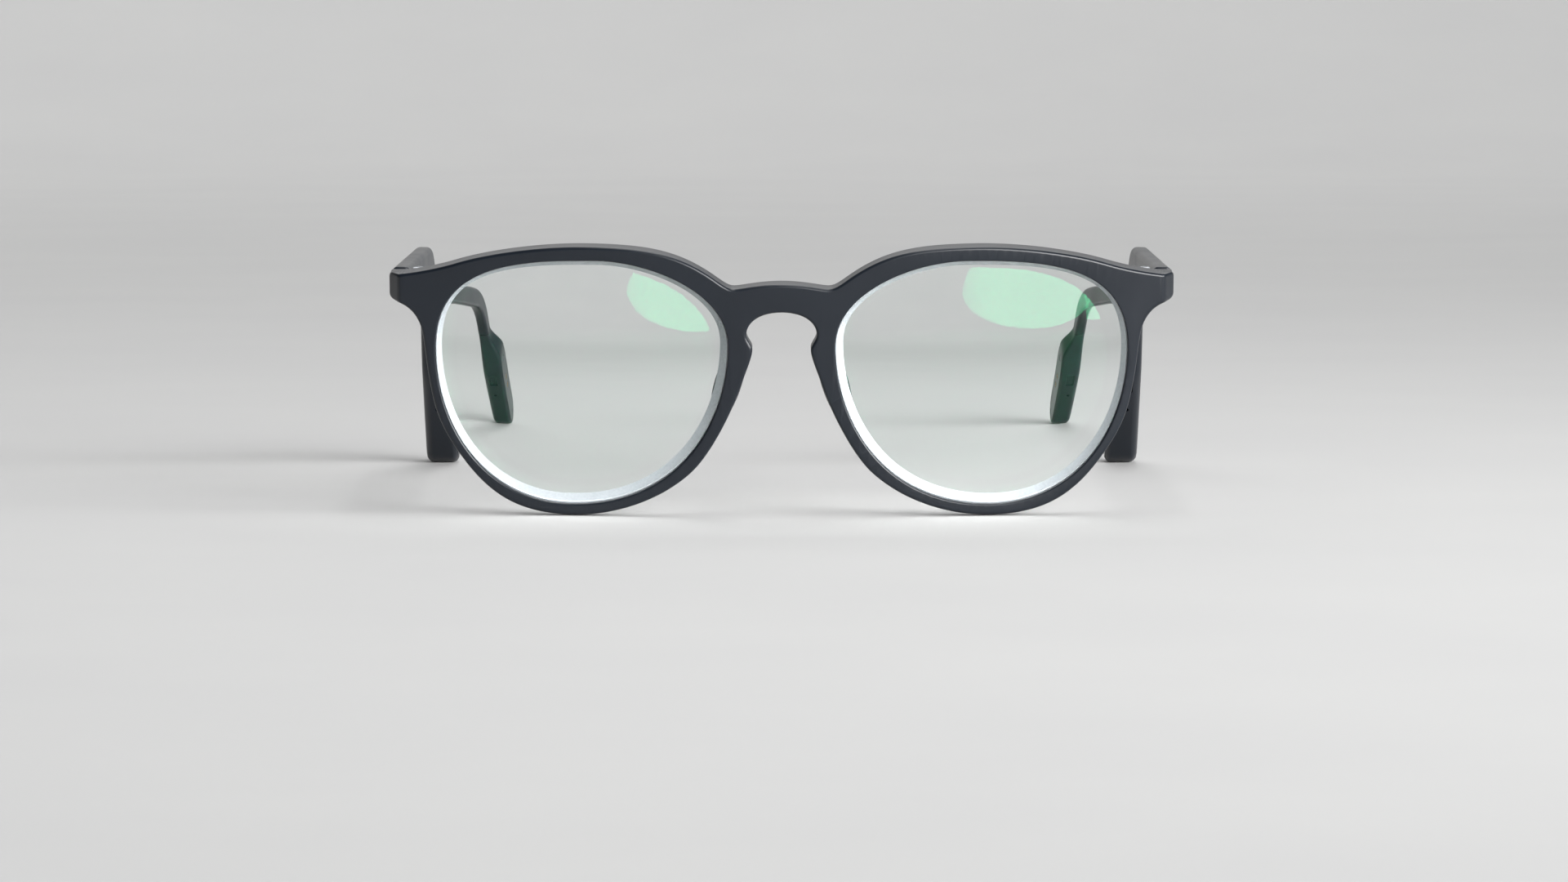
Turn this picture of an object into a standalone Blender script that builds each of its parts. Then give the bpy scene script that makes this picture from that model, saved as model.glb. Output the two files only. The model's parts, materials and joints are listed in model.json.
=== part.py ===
"""Smart glasses: a keyhole spectacle front and two folding temples that end in small electronics pods.

All sizes are millimetres until add_part() writes a mesh in metres. X runs across the face, Y from the front back
to the ears and Z up, with the table at Z = 0. Everything on one side is modelled for the wearer's left, at +X,
and mirrored for the wearer's right.
"""
import math

import bmesh
import bpy
from mathutils import Matrix, Vector
from mathutils.geometry import interpolate_bezier

# Spectacle front, size 52-18
FRONT_DEPTH = 4.0
WRAP_RADIUS = 320.0
TILT = math.radians(10.0)
LENS_CENTRE_HEIGHT = 23.62
FRONT_Y = -69.6
EDGE_CHAMFER = 0.45
STRIP_WIDTH = 8.0
CORNER_START = 66.6
CORNER_RADIUS = 2.3

# Lenses: strong minus meniscus, so thin in the middle and thick at the edge
LENS_CENTRE_X = 35.0
LENS_FRONT_RADIUS = 170.0
LENS_BACK_RADIUS = 65.0
LENS_THICKNESS = 1.5
LENS_SETBACK = -0.35
GROOVE_Y = 1.6
GROOVE_DEPTH = 0.6
LENS_GAP = 0.3

# Hinge: its axis stands square to the tilted front, at these front coordinates
HINGE_X = 63.9
HINGE_Y = 13.5
HINGE_Z = 15.4
BUTT_GAP = 0.15
BARREL_RADIUS = 1.3
BORE_RADIUS = 0.75
KNUCKLE_HEIGHT = 1.0
KNUCKLE_GAP = 0.25
SEAT_Y = 11.4
RIVET_X = 61.9

# Temple: straight arm, ear bend, then the tail that carries the pod down to the table
ARM_X = 67.0
ARM_THICKNESS = 3.2
ARM_HEIGHT = 5.0
STRAIGHT = 79.0
BEND_RADIUS = 28.0
BEND = math.radians(45.0)

# Pod: local u runs down the tail, v square to it and up, x across the face
POD_OUTER_X = 68.6
POD_INNER_X = 62.4
POD_HALF_HEIGHT = 6.0
POD_ROUND_U = 37.0
POD_FLARE_U = 16.0
POD_TIP_U = 43.0
COVER_THICKNESS = 0.9
SEAL_THICKNESS = 0.4
FIT_GAP = 0.25
SHELL_WALL = 0.9

FRONT = Matrix.Translation((0, FRONT_Y, LENS_CENTRE_HEIGHT)) @ Matrix.Rotation(TILT, 4, "X")
HINGE = FRONT @ Vector((HINGE_X, HINGE_Y, HINGE_Z))
BEND_DROP = BEND_RADIUS * (1 - math.cos(BEND))
TAIL_TO_TIP_CENTRE = (HINGE.z - BEND_DROP - POD_HALF_HEIGHT) / math.sin(BEND)
POD_START = STRAIGHT + BEND_RADIUS * BEND + TAIL_TO_TIP_CENTRE - POD_ROUND_U

# Outline of the front's right-hand half, from the middle of the bridge round the end piece, under the lens and
# up the nose to the top of the keyhole: x, z, heading in degrees, reach of the handle before and after the knot
HALF_OUTLINE = [
    (0.0, 17.7, 0, 0.0, 4.0),
    (8.3, 16.85, 0, 1.4, 1.1),
    (11.9, 18.75, 35, 1.8, 7.8),
    (33.6, 24.0, 0, 9.8, 8.5),
    (57.0, 20.4, -19, 5.8, 3.8),
    (67.9, 17.85, -8, 3.0, 0.6),
    (68.9, 16.9, -90, 0.6, 1.0),
    (68.9, 13.9, -90, 1.0, 0.6),
    (67.9, 12.95, -176, 0.6, 1.4),
    (62.9, 7.0, -98, 4.6, 2.2),
    (62.0, 0.0, -99, 2.6, 5.6),
    (56.4, -14.3, -126, 6.8, 8.0),
    (37.0, -24.3, -180, 9.8, 8.2),
    (16.0, -16.4, -223, 6.9, 5.0),
    (6.9, 0.0, -252, 5.2, 2.4),
    (5.1, 6.0, -270, 1.4, 0.7),
    (6.15, 8.6, -270, 0.9, 2.2),
    (0.0, 12.65, -180, 3.9, 0.0),
]
# Opening for the left lens, as seen at the front face, clockwise from the nose
LENS_OUTLINE = [
    (9.4, 6.6, 90, 13.2, 9.6),
    (32.0, 21.5, 0, 9.0, 16.4),
    (60.7, 4.9, -90, 14.2, 15.0),
    (37.2, -22.3, -180, 14.4, 19.6),
]
OUTLINE_STEP = 2.3
LENS_STEP = 2.8

COLLECTIONS = {}
MATERIALS = {}


# ---------------------------------------------------------------- scene, materials and objects

def clear_scene():
    for obj in list(bpy.data.objects):
        bpy.data.objects.remove(obj, do_unlink=True)
    for key, name in (("parts", "smart_glasses"), ("cutters", "cutters")):
        collection = bpy.data.collections.new(name)
        bpy.context.scene.collection.children.link(collection)
        COLLECTIONS[key] = collection


def material(name, colour, roughness, metallic=0.0):
    """A Principled material from an sRGB hex colour, made once."""
    if name not in MATERIALS:
        mat = bpy.data.materials.new(name)
        mat.use_nodes = True
        shader = mat.node_tree.nodes["Principled BSDF"]
        linear = []
        for at in (0, 2, 4):
            value = int(colour[at:at + 2], 16) / 255
            linear.append(value / 12.92 if value <= 0.04045 else ((value + 0.055) / 1.055) ** 2.4)
        shader.inputs["Base Color"].default_value = (*linear, 1.0)
        shader.inputs["Roughness"].default_value = roughness
        shader.inputs["Metallic"].default_value = metallic
        mat.diffuse_color = (*linear, 1.0)
        MATERIALS[name] = mat
    return MATERIALS[name]


def datum(name, matrix):
    """An empty, placed by a matrix in millimetres, for the pieces that move together."""
    empty = bpy.data.objects.new(name, None)
    empty.empty_display_size = 0.01
    location, rotation, _ = matrix.decompose()
    empty.location = location * 0.001
    empty.rotation_euler = rotation.to_euler()
    COLLECTIONS["parts"].objects.link(empty)
    return empty


def write_mesh(name, bm, mirrored):
    """Mesh in metres from a bmesh in millimetres, mirrored to the wearer's right if asked. Frees the bmesh."""
    bm.transform(Matrix.Scale(0.001, 4))
    if mirrored:
        bm.transform(Matrix.Scale(-1, 4, (1, 0, 0)))
        bmesh.ops.reverse_faces(bm, faces=bm.faces)
    mesh = bpy.data.meshes.new(name)
    bm.to_mesh(mesh)
    bm.free()
    return mesh


def add_part(name, bm, mat, parent, mirrored=False, smooth=True):
    """One sub-part. Its mesh keeps the object's coordinates, and its parent empty stands on the joint's axis."""
    mesh = write_mesh(name, bm, mirrored)
    mesh.materials.append(mat)
    if smooth:
        mesh.shade_smooth()
        mesh.set_sharp_from_angle(angle=math.radians(35))
    obj = bpy.data.objects.new(name, mesh)
    COLLECTIONS["parts"].objects.link(obj)
    obj.parent = parent
    placed = Matrix.LocRotScale(parent.location, parent.rotation_euler, None)
    obj.matrix_parent_inverse = placed.inverted()
    return obj


def boolean(obj, bm, operation, mirrored=False):
    """Cuts or joins a bmesh with a Boolean modifier; the tool is kept in the cutters collection."""
    name = f"{obj.name}_{operation.lower()}_{len(obj.modifiers) + 1}"
    tool = bpy.data.objects.new(name, write_mesh(name, bm, mirrored))
    tool.hide_render = True
    tool.display_type = "WIRE"
    COLLECTIONS["cutters"].objects.link(tool)
    modifier = obj.modifiers.new(operation.lower(), "BOOLEAN")
    modifier.operation = operation
    modifier.object = tool
    modifier.solver = "EXACT"


# ---------------------------------------------------------------- shapes

def traced(knots, step, closed):
    """Points along the curve through the knots, about one step apart."""
    points = []
    count = len(knots) if closed else len(knots) - 1
    for index in range(count):
        x0, z0, heading0, _, reach0 = knots[index]
        x1, z1, heading1, reach1, _ = knots[(index + 1) % len(knots)]
        start = Vector((x0, z0))
        end = Vector((x1, z1))
        out = Vector((math.cos(math.radians(heading0)), math.sin(math.radians(heading0))))
        into = Vector((math.cos(math.radians(heading1)), math.sin(math.radians(heading1))))
        steps = max(3, round((end - start).length / step))
        span = interpolate_bezier(start, start + out * reach0, end - into * reach1, end, steps + 1)
        points.extend(span[:-1])
    if not closed:
        points.append(Vector(knots[-1][:2]))
    return points


def offset_loop(points, distance):
    """A closed clockwise loop moved outwards by a distance, or inwards by a negative one."""
    loop = []
    for index, point in enumerate(points):
        before = (point - points[index - 1]).normalized()
        after = (points[(index + 1) % len(points)] - point).normalized()
        along = (before + after).normalized()
        outward = Vector((-along.y, along.x))
        loop.append(point + outward * distance / max(0.5, along.dot(after)))
    return loop


def front_outline():
    """The whole outline of the front, clockwise as the wearer's left half leads."""
    half = traced(HALF_OUTLINE, OUTLINE_STEP, closed=False)
    return half + [Vector((-point.x, point.y)) for point in reversed(half[1:-1])]


def swept(sections):
    """A closed solid through a list of loops: a face on the first loop, extruded to each of the others."""
    bm = bmesh.new()
    first = cap = bm.faces.new([bm.verts.new(point) for point in sections[0]])
    for section in sections[1:]:
        grown = bmesh.ops.extrude_face_region(bm, geom=[cap])["geom"]
        if cap is not first:
            bmesh.ops.delete(bm, geom=[cap], context="FACES_ONLY")
        cap = next(part for part in grown if isinstance(part, bmesh.types.BMFace))
        for vert, point in zip(cap.verts, section):
            vert.co = point
    bmesh.ops.recalc_face_normals(bm, faces=bm.faces)
    return bm


def block(low, high, rounding=0.0):
    """A box between two corners, with its edges rounded off if asked."""
    bm = bmesh.new()
    size = Vector(high) - Vector(low)
    middle = (Vector(high) + Vector(low)) / 2
    bmesh.ops.create_cube(bm, size=1.0, matrix=Matrix.Translation(middle) @ Matrix.Diagonal((*size, 1)))
    if rounding:
        bmesh.ops.bevel(
            bm, geom=bm.edges[:], offset=rounding, segments=1, profile=0.5, affect="EDGES", material=-1
        )
    return bm


def rod(radius, start, end, segments=20, tip_radius=None):
    """A round bar, or a cone when the tip has its own radius, between two points."""
    bm = bmesh.new()
    axis = Vector(end) - Vector(start)
    turn = axis.to_track_quat("Z", "Y").to_matrix().to_4x4()
    place = Matrix.Translation((Vector(start) + Vector(end)) / 2) @ turn
    bmesh.ops.create_cone(
        bm,
        cap_ends=True,
        segments=segments,
        radius1=radius,
        radius2=radius if tip_radius is None else tip_radius,
        depth=axis.length,
        matrix=place,
    )
    return bm


def turned(profile, place, segments=24):
    """A solid of revolution: (radius, height) pairs from the bottom centre up to the top centre, spun round Z."""
    bm = bmesh.new()
    verts = [bm.verts.new((radius, 0, height)) for radius, height in profile]
    edges = [bm.edges.new(pair) for pair in zip(verts, verts[1:])]
    bmesh.ops.spin(
        bm, geom=verts + edges, axis=(0, 0, 1), cent=(0, 0, 0), steps=segments,
        angle=math.tau, use_merge=True, use_duplicate=False
    )
    bmesh.ops.remove_doubles(bm, verts=bm.verts, dist=0.001)
    bmesh.ops.recalc_face_normals(bm, faces=bm.faces)
    bm.transform(place)
    return bm


def joined(*solids):
    """Several separate solids in one bmesh, to cut together."""
    bm = solids[0]
    for other in solids[1:]:
        mesh = bpy.data.meshes.new("joined")
        other.to_mesh(mesh)
        other.free()
        bm.from_mesh(mesh)
        bpy.data.meshes.remove(mesh)
    return bm


def moved(bm, matrix):
    """The same bmesh, taken to its place."""
    bm.transform(matrix)
    return bm


def rounded_rectangle(half_x, half_v, radius, steps=3):
    """Loop of (x, v) points round a rectangle with round corners, clockwise from its right-hand side."""
    loop = []
    for corner_x, corner_v, start in ((1, 1, 0), (-1, 1, 90), (-1, -1, 180), (1, -1, 270)):
        for step in range(steps + 1):
            angle = math.radians(start + 90 * step / steps)
            x = corner_x * (half_x - radius) + radius * math.cos(angle)
            v = corner_v * (half_v - radius) + radius * math.sin(angle)
            loop.append((x, v))
    return loop


# ---------------------------------------------------------------- front

def sag(x):
    """How far the wrapped front lies behind its middle, at x."""
    return WRAP_RADIUS - math.sqrt(WRAP_RADIUS ** 2 - x * x)


def corner(x):
    """How far the front face turns back at the outer end of an end piece."""
    over = min(max(abs(x) - CORNER_START, 0.0), CORNER_RADIUS)
    return CORNER_RADIUS - math.sqrt(CORNER_RADIUS ** 2 - over ** 2)


def wrapped(bm, first_strip=0.0):
    """A flat solid, cut across into strips, wrapped round the face and tilted to its place."""
    strips = [first_strip + STRIP_WIDTH * index for index in range(9)] + [66.6, 67.4, 68.1, 68.6]
    for x in sorted({side * strip for strip in strips for side in (-1, 1)}):
        bmesh.ops.bisect_plane(
            bm, geom=bm.verts[:] + bm.edges[:] + bm.faces[:], dist=1e-4, plane_co=(x, 0, 0), plane_no=(1, 0, 0)
        )
    bmesh.ops.triangulate(bm, faces=bm.faces[:])
    for vert in bm.verts:
        turn = corner(vert.co.x) * max(0.0, 1 - vert.co.y / FRONT_DEPTH)
        vert.co.y += sag(vert.co.x) + turn
    bm.transform(FRONT)
    return bm


def lens_opening(outline):
    """Cutter for one lens opening: chamfered mouth, V groove for the lens bevel, straight back wall."""
    profile = [
        (-0.6, 0.95),
        (0.35, 0.0),
        (GROOVE_Y - GROOVE_DEPTH - 0.1, 0.0),
        (GROOVE_Y - 0.1, GROOVE_DEPTH),
        (GROOVE_Y + 0.1, GROOVE_DEPTH),
        (GROOVE_Y + GROOVE_DEPTH + 0.1, 0.0),
        (FRONT_DEPTH - 0.3, 0.0),
        (FRONT_DEPTH + 0.6, 0.9),
    ]
    sections = []
    for y, outward in profile:
        sections.append([(point.x, y, point.y) for point in offset_loop(outline, outward)])
    return swept(sections)


def end_lug():
    """Thick part of an end piece behind the front, which seats the hinge and meets the arm's end."""
    butt = HINGE_Y - BUTT_GAP
    plan = [(59.2, 9.0), (59.2, 8.0), (66.6, 9.6), (68.3, 10.6), (68.7, 11.3), (68.7, butt), (65.3, butt),
            (65.3, SEAT_Y), (60.0, SEAT_Y)]
    sections = []
    for z, inward in ((13.05, 0.3), (13.35, 0.0), (17.35, 0.0), (17.65, 0.3)):
        sections.append([(x - inward if x > 60 else x, y, z) for x, y in plan])
    return moved(swept(sections), FRONT)


def leaf_pocket():
    """Pocket in the end piece for the hinge leaf, with the rivet's hole behind it."""
    pocket = block((60.35, SEAT_Y - 1.1, HINGE_Z - 1.85), (65.15, SEAT_Y + 0.6, HINGE_Z + 1.85))
    hole = rod(0.75, (RIVET_X, SEAT_Y - 2.2, HINGE_Z), (RIVET_X, SEAT_Y - 0.9, HINGE_Z), 12)
    return moved(pocket, FRONT), moved(hole, FRONT)


def build_front(parent, frame_material):
    outline = front_outline()
    sections = []
    for y, inward in ((0.0, EDGE_CHAMFER), (EDGE_CHAMFER, 0.0),
                      (FRONT_DEPTH - EDGE_CHAMFER, 0.0), (FRONT_DEPTH, EDGE_CHAMFER)):
        sections.append([(point.x, y, point.y) for point in offset_loop(outline, -inward)])
    frame = add_part("front_frame", wrapped(swept(sections)), frame_material, parent)
    opening = traced(LENS_OUTLINE, LENS_STEP, closed=True)
    for mirrored in (False, True):
        boolean(frame, wrapped(lens_opening(opening), STRIP_WIDTH / 2), "DIFFERENCE", mirrored)
    for mirrored in (False, True):
        boolean(frame, end_lug(), "UNION", mirrored)
        for cutter in leaf_pocket():
            boolean(frame, cutter, "DIFFERENCE", mirrored)


def lens_surface(x, z, radius):
    """Depth of a round lens surface behind its pole, less what the wrap of the front adds later."""
    across = x - LENS_CENTRE_X
    return across ** 2 * (0.5 / radius - 0.5 / WRAP_RADIUS) + z ** 2 * 0.5 / radius


def build_lens(name, parent, mirrored, glass):
    """Meniscus lens: front surface from the middle out, bevelled edge, then the back surface to the middle."""
    rim = offset_loop(traced(LENS_OUTLINE, LENS_STEP, closed=True), -LENS_GAP)
    bevel = offset_loop(rim, GROOVE_DEPTH - 0.02)
    middle = Vector((LENS_CENTRE_X, 0.0))
    rings = (0.3, 0.6, 0.82, 1.0)
    sections = []
    for scale in rings:
        loop = [middle + (point - middle) * scale for point in rim]
        sections.append(
            [(p.x, LENS_SETBACK + lens_surface(p.x, p.y, LENS_FRONT_RADIUS), p.y) for p in loop]
        )
    sections.append([(p.x, GROOVE_Y - 0.45, p.y) for p in rim])
    sections.append([(p.x, GROOVE_Y, p.y) for p in bevel])
    sections.append([(p.x, GROOVE_Y + 0.45, p.y) for p in rim])
    back = LENS_SETBACK + LENS_THICKNESS
    for scale in reversed(rings):
        loop = [middle + (point - middle) * scale for point in rim]
        sections.append([(p.x, back + lens_surface(p.x, p.y, LENS_BACK_RADIUS), p.y) for p in loop])
    add_part(name, wrapped(swept(sections)), glass, parent, mirrored)


def build_nose_pad(name, parent, mirrored, pad_material):
    """Moulded pad on the back of the nasal rim, splaying outwards as it goes back along the nose."""
    lean = math.radians(16)
    sections = []
    for y, x, z, half_length, half_width in (
        (4.45, 8.3, -0.4, 6.6, 1.2),
        (4.9, 8.3, -0.4, 7.2, 1.6),
        (5.8, 8.5, -0.5, 7.2, 1.7),
        (7.0, 8.95, -0.8, 6.8, 1.65),
        (8.2, 9.55, -1.1, 6.0, 1.45),
        (9.0, 10.0, -1.4, 4.9, 1.05),
        (9.4, 10.25, -1.5, 3.6, 0.6),
    ):
        loop = []
        for step in range(18):
            angle = -math.tau * step / 18
            across = half_width * math.cos(angle)
            up = half_length * math.sin(angle)
            loop.append((
                x + across * math.cos(lean) - up * math.sin(lean),
                y + sag(x),
                z + across * math.sin(lean) + up * math.cos(lean),
            ))
        sections.append(loop)
    add_part(name, moved(swept(sections), FRONT), pad_material, parent, mirrored)


# ---------------------------------------------------------------- hinge

def knuckle(z):
    """Solid barrel of one knuckle, centred at this height above the hinge's middle."""
    half = KNUCKLE_HEIGHT / 2
    middle = HINGE_Z + z
    return rod(BARREL_RADIUS, (HINGE_X, HINGE_Y, middle - half), (HINGE_X, HINGE_Y, middle + half), 20)


def hinge_bore():
    return moved(rod(BORE_RADIUS, (HINGE_X, HINGE_Y, HINGE_Z - 4), (HINGE_X, HINGE_Y, HINGE_Z + 4), 16), FRONT)


def build_front_hinge(name, parent, mirrored, steel):
    """Leaf sunk in the end piece, with the two outer knuckles on necks."""
    leaf = block((60.65, SEAT_Y - 0.8, HINGE_Z - 1.55), (64.85, SEAT_Y, HINGE_Z + 1.55), 0.1)
    hinge = add_part(name, moved(leaf, FRONT), steel, parent, mirrored)
    pitch = KNUCKLE_HEIGHT + KNUCKLE_GAP
    for z in (-pitch, pitch):
        low = HINGE_Z + z - 0.4
        neck = block((HINGE_X - 0.9, SEAT_Y - 0.4, low), (HINGE_X + 0.8, HINGE_Y - 0.3, low + 0.68))
        boolean(hinge, moved(neck, FRONT), "UNION", mirrored)
        boolean(hinge, moved(knuckle(z), FRONT), "UNION", mirrored)
    boolean(hinge, hinge_bore(), "DIFFERENCE", mirrored)
    rivet_hole = rod(0.75, (RIVET_X, SEAT_Y - 2, HINGE_Z), (RIVET_X, SEAT_Y + 1, HINGE_Z), 12)
    boolean(hinge, moved(rivet_hole, FRONT), "DIFFERENCE", mirrored)


def build_hinge_rivet(name, parent, mirrored, steel):
    """Rivet that holds the leaf in the end piece."""
    place = FRONT @ Matrix.Translation((RIVET_X, SEAT_Y, HINGE_Z)) @ Matrix.Rotation(-math.pi / 2, 4, "X")
    profile = [(0, -1.9), (0.45, -1.9), (0.45, 0.25), (1.1, 0.25), (0.95, 0.5), (0.55, 0.68), (0, 0.72)]
    add_part(name, turned(profile, place, 14), steel, parent, mirrored)


def build_hinge_screw(name, parent, mirrored, steel):
    """Slotted screw down the hinge's axis."""
    place = FRONT @ Matrix.Translation((HINGE_X, HINGE_Y, HINGE_Z))
    profile = [(0, -1.95), (0.35, -1.95), (0.5, -1.8), (0.5, 2.0), (1.05, 2.0), (1.05, 2.3), (0.8, 2.5), (0, 2.5)]
    screw = add_part(name, turned(profile, place, 18), steel, parent, mirrored)
    slot = block((HINGE_X - 1.5, HINGE_Y - 0.14, HINGE_Z + 2.25), (HINGE_X + 1.5, HINGE_Y + 0.14, HINGE_Z + 3))
    boolean(screw, moved(slot, FRONT), "DIFFERENCE", mirrored)


LEAF_INNER_X = ARM_X - ARM_THICKNESS / 2 + 0.05


def temple_leaf():
    """Leaf of the hinge in the inner side of the arm."""
    low = (LEAF_INNER_X, HINGE.y + 0.75, HINGE.z - 1.45)
    return block(low, (LEAF_INNER_X + 0.8, HINGE.y + 7.2, HINGE.z + 1.45), 0.1)


def temple_leaf_pocket():
    """Pocket for the leaf and its neck, open at the arm's end and inner side."""
    low = (LEAF_INNER_X - 1, HINGE.y - 1.5, HINGE.z - 1.7)
    return block(low, (LEAF_INNER_X + 1.05, HINGE.y + 7.45, HINGE.z + 1.7))


def build_temple_hinge(name, parent, mirrored, steel):
    """Leaf in the arm, with the middle knuckle on its neck."""
    hinge = add_part(name, temple_leaf(), steel, parent, mirrored)
    low = (HINGE_X - 0.2, HINGE_Y + 0.3, HINGE_Z - 0.42)
    high = (ARM_X - ARM_THICKNESS / 2 + 0.45, HINGE_Y + 1.25, HINGE_Z + 0.42)
    boolean(hinge, moved(block(low, high), FRONT), "UNION", mirrored)
    boolean(hinge, moved(knuckle(0.0), FRONT), "UNION", mirrored)
    boolean(hinge, hinge_bore(), "DIFFERENCE", mirrored)


# ---------------------------------------------------------------- temple arm

def on_temple(along, x, rise):
    """A point beside the temple's centre line: so far along it from the hinge, at x, and so far above it."""
    turn = min(max((along - STRAIGHT) / BEND_RADIUS, 0.0), BEND)
    tail = max(along - STRAIGHT - BEND_RADIUS * BEND, 0.0)
    y = min(along, STRAIGHT) + BEND_RADIUS * math.sin(turn) + tail * math.cos(turn)
    z = -BEND_RADIUS * (1 - math.cos(turn)) - tail * math.sin(turn)
    return Vector((x, HINGE.y + y + rise * math.sin(turn), HINGE.z + z + rise * math.cos(turn)))


def temple_section(along, half_x, half_v, radius, slanted=False):
    """Rounded section square to the temple, or slanted to lie against the tilted front."""
    loop = []
    for x, v in rounded_rectangle(half_x, half_v, radius, 2):
        point = on_temple(along, ARM_X + x, v)
        if slanted:
            point.y -= v * math.tan(TILT)
        loop.append(point)
    return loop


def arm_stations():
    """Distances along the arm at which its section is set: its ends, and evenly round the bend."""
    bend_steps = 5
    length = BEND_RADIUS * BEND
    return [14.0, 46.0, STRAIGHT] + [STRAIGHT + length * step / bend_steps for step in range(1, bend_steps + 1)]


def build_arm(name, parent, mirrored, frame_material):
    """Slim arm with a tenon into the pod, a channel for the core wire and a pocket for the hinge leaf."""
    half_x = ARM_THICKNESS / 2
    half_v = ARM_HEIGHT / 2
    sections = [
        temple_section(BUTT_GAP, half_x - 0.25, half_v - 0.25, 0.6, slanted=True),
        temple_section(BUTT_GAP + 0.3, half_x, half_v, 0.8, slanted=True),
    ]
    for along in arm_stations():
        sections.append(temple_section(along, half_x, half_v, 0.8))
    shoulder = POD_START - FIT_GAP
    sections.append(temple_section(shoulder, half_x, half_v, 0.8))
    sections.append(temple_section(shoulder, 1.0, 1.9, 0.4))
    sections.append(temple_section(shoulder + 4.5, 1.0, 1.9, 0.4))
    arm = add_part(name, swept(sections), frame_material, parent, mirrored)
    channel = [temple_section(along, 0.62, 1.15, 0.2) for along in [-3.0] + arm_stations() + [POD_START + 9.0]]
    boolean(arm, swept(channel), "DIFFERENCE", mirrored)
    boolean(arm, temple_leaf_pocket(), "DIFFERENCE", mirrored)


def build_core_wire(name, parent, mirrored, steel):
    """Flat wire that stiffens the arm and holds its bend."""
    stations = [1.2] + arm_stations() + [POD_START + 3.8]
    add_part(name, swept([temple_section(along, 0.32, 0.85, 0.15) for along in stations]), steel, parent, mirrored)


# ---------------------------------------------------------------- pod casing

def pod_matrix():
    """From pod coordinates (x, u, v) to the object's."""
    start = on_temple(POD_START, 0.0, 0.0)
    return Matrix.Translation(start) @ Matrix.Rotation(-BEND, 4, "X")


def pod_half_height(u):
    """Half the pod's height: it flares from the arm, runs straight, and ends in a half circle."""
    if u > POD_ROUND_U:
        return math.sqrt(max(POD_HALF_HEIGHT ** 2 - (u - POD_ROUND_U) ** 2, 0.0))
    flare = min(max(u / POD_FLARE_U, 0.0), 1.0)
    blend = flare * flare * (3 - 2 * flare)
    return ARM_HEIGHT / 2 + (POD_HALF_HEIGHT - ARM_HEIGHT / 2) * blend


def pod_inner_x(u):
    """The pod's inner side: level with the arm at its start, then stepping in to the flat cover face."""
    flare = min(max(u / 9.5, 0.0), 1.0)
    blend = flare * flare * (3 - 2 * flare)
    arm_inner = ARM_X - ARM_THICKNESS / 2
    return arm_inner + (POD_INNER_X - arm_inner) * blend


def pod_section(u, x_low, x_high, half_v, radius):
    middle = (x_low + x_high) / 2
    loop = rounded_rectangle((x_high - x_low) / 2, half_v, radius, 3)
    return [(middle + x, u, v) for x, v in loop]


def tray(stations, x_low, x_high, inward, radius):
    """Straight-sided solid that follows the pod's outline, so far inside it."""
    sections = []
    for u in stations:
        sections.append(pod_section(u, x_low, x_high, pod_half_height(u) - inward, radius))
    return moved(swept(sections), pod_matrix())


def pod_body():
    """The pod's whole outer form."""
    sections = []
    for u in (0.0, 2.5, 5.0, 7.5, 9.5, 12.0, 14.5, 18.0, 27.0, 35.0, 38.0, 40.0, 41.3):
        radius = 0.8 + 0.5 * min(u / POD_FLARE_U, 1.0)
        sections.append(pod_section(u, pod_inner_x(u), POD_OUTER_X, pod_half_height(u), radius))
    for u, inset, radius in ((42.2, 0.35, 1.2), (42.75, 0.9, 0.9), (POD_TIP_U, 1.6, 0.45)):
        half_v = max(pod_half_height(u - 0.05) - 0.2, 0.75)
        sections.append(pod_section(u, POD_INNER_X + inset, POD_OUTER_X - inset, half_v, min(radius, half_v)))
    return moved(swept(sections), pod_matrix())


COVER_STATIONS = (10.8, 13.0, 15.5, 18.0, 36.5, 38.5, 40.0, 41.2)
CAVITY_STATIONS = (13.4, 16.0, 18.0, 38.0)
LEDGE_X = POD_INNER_X + COVER_THICKNESS + SEAL_THICKNESS + 2 * FIT_GAP
CAVITY_X = POD_OUTER_X - SHELL_WALL
SCREWS_U = (12.1, 39.7)
CONTACTS_U = (21.0, 25.0)
BUTTON_U = 24.0
BUTTON_X = 65.8
LIGHT_U = 19.6
MESH_U = (14.6, 19.0)


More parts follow.
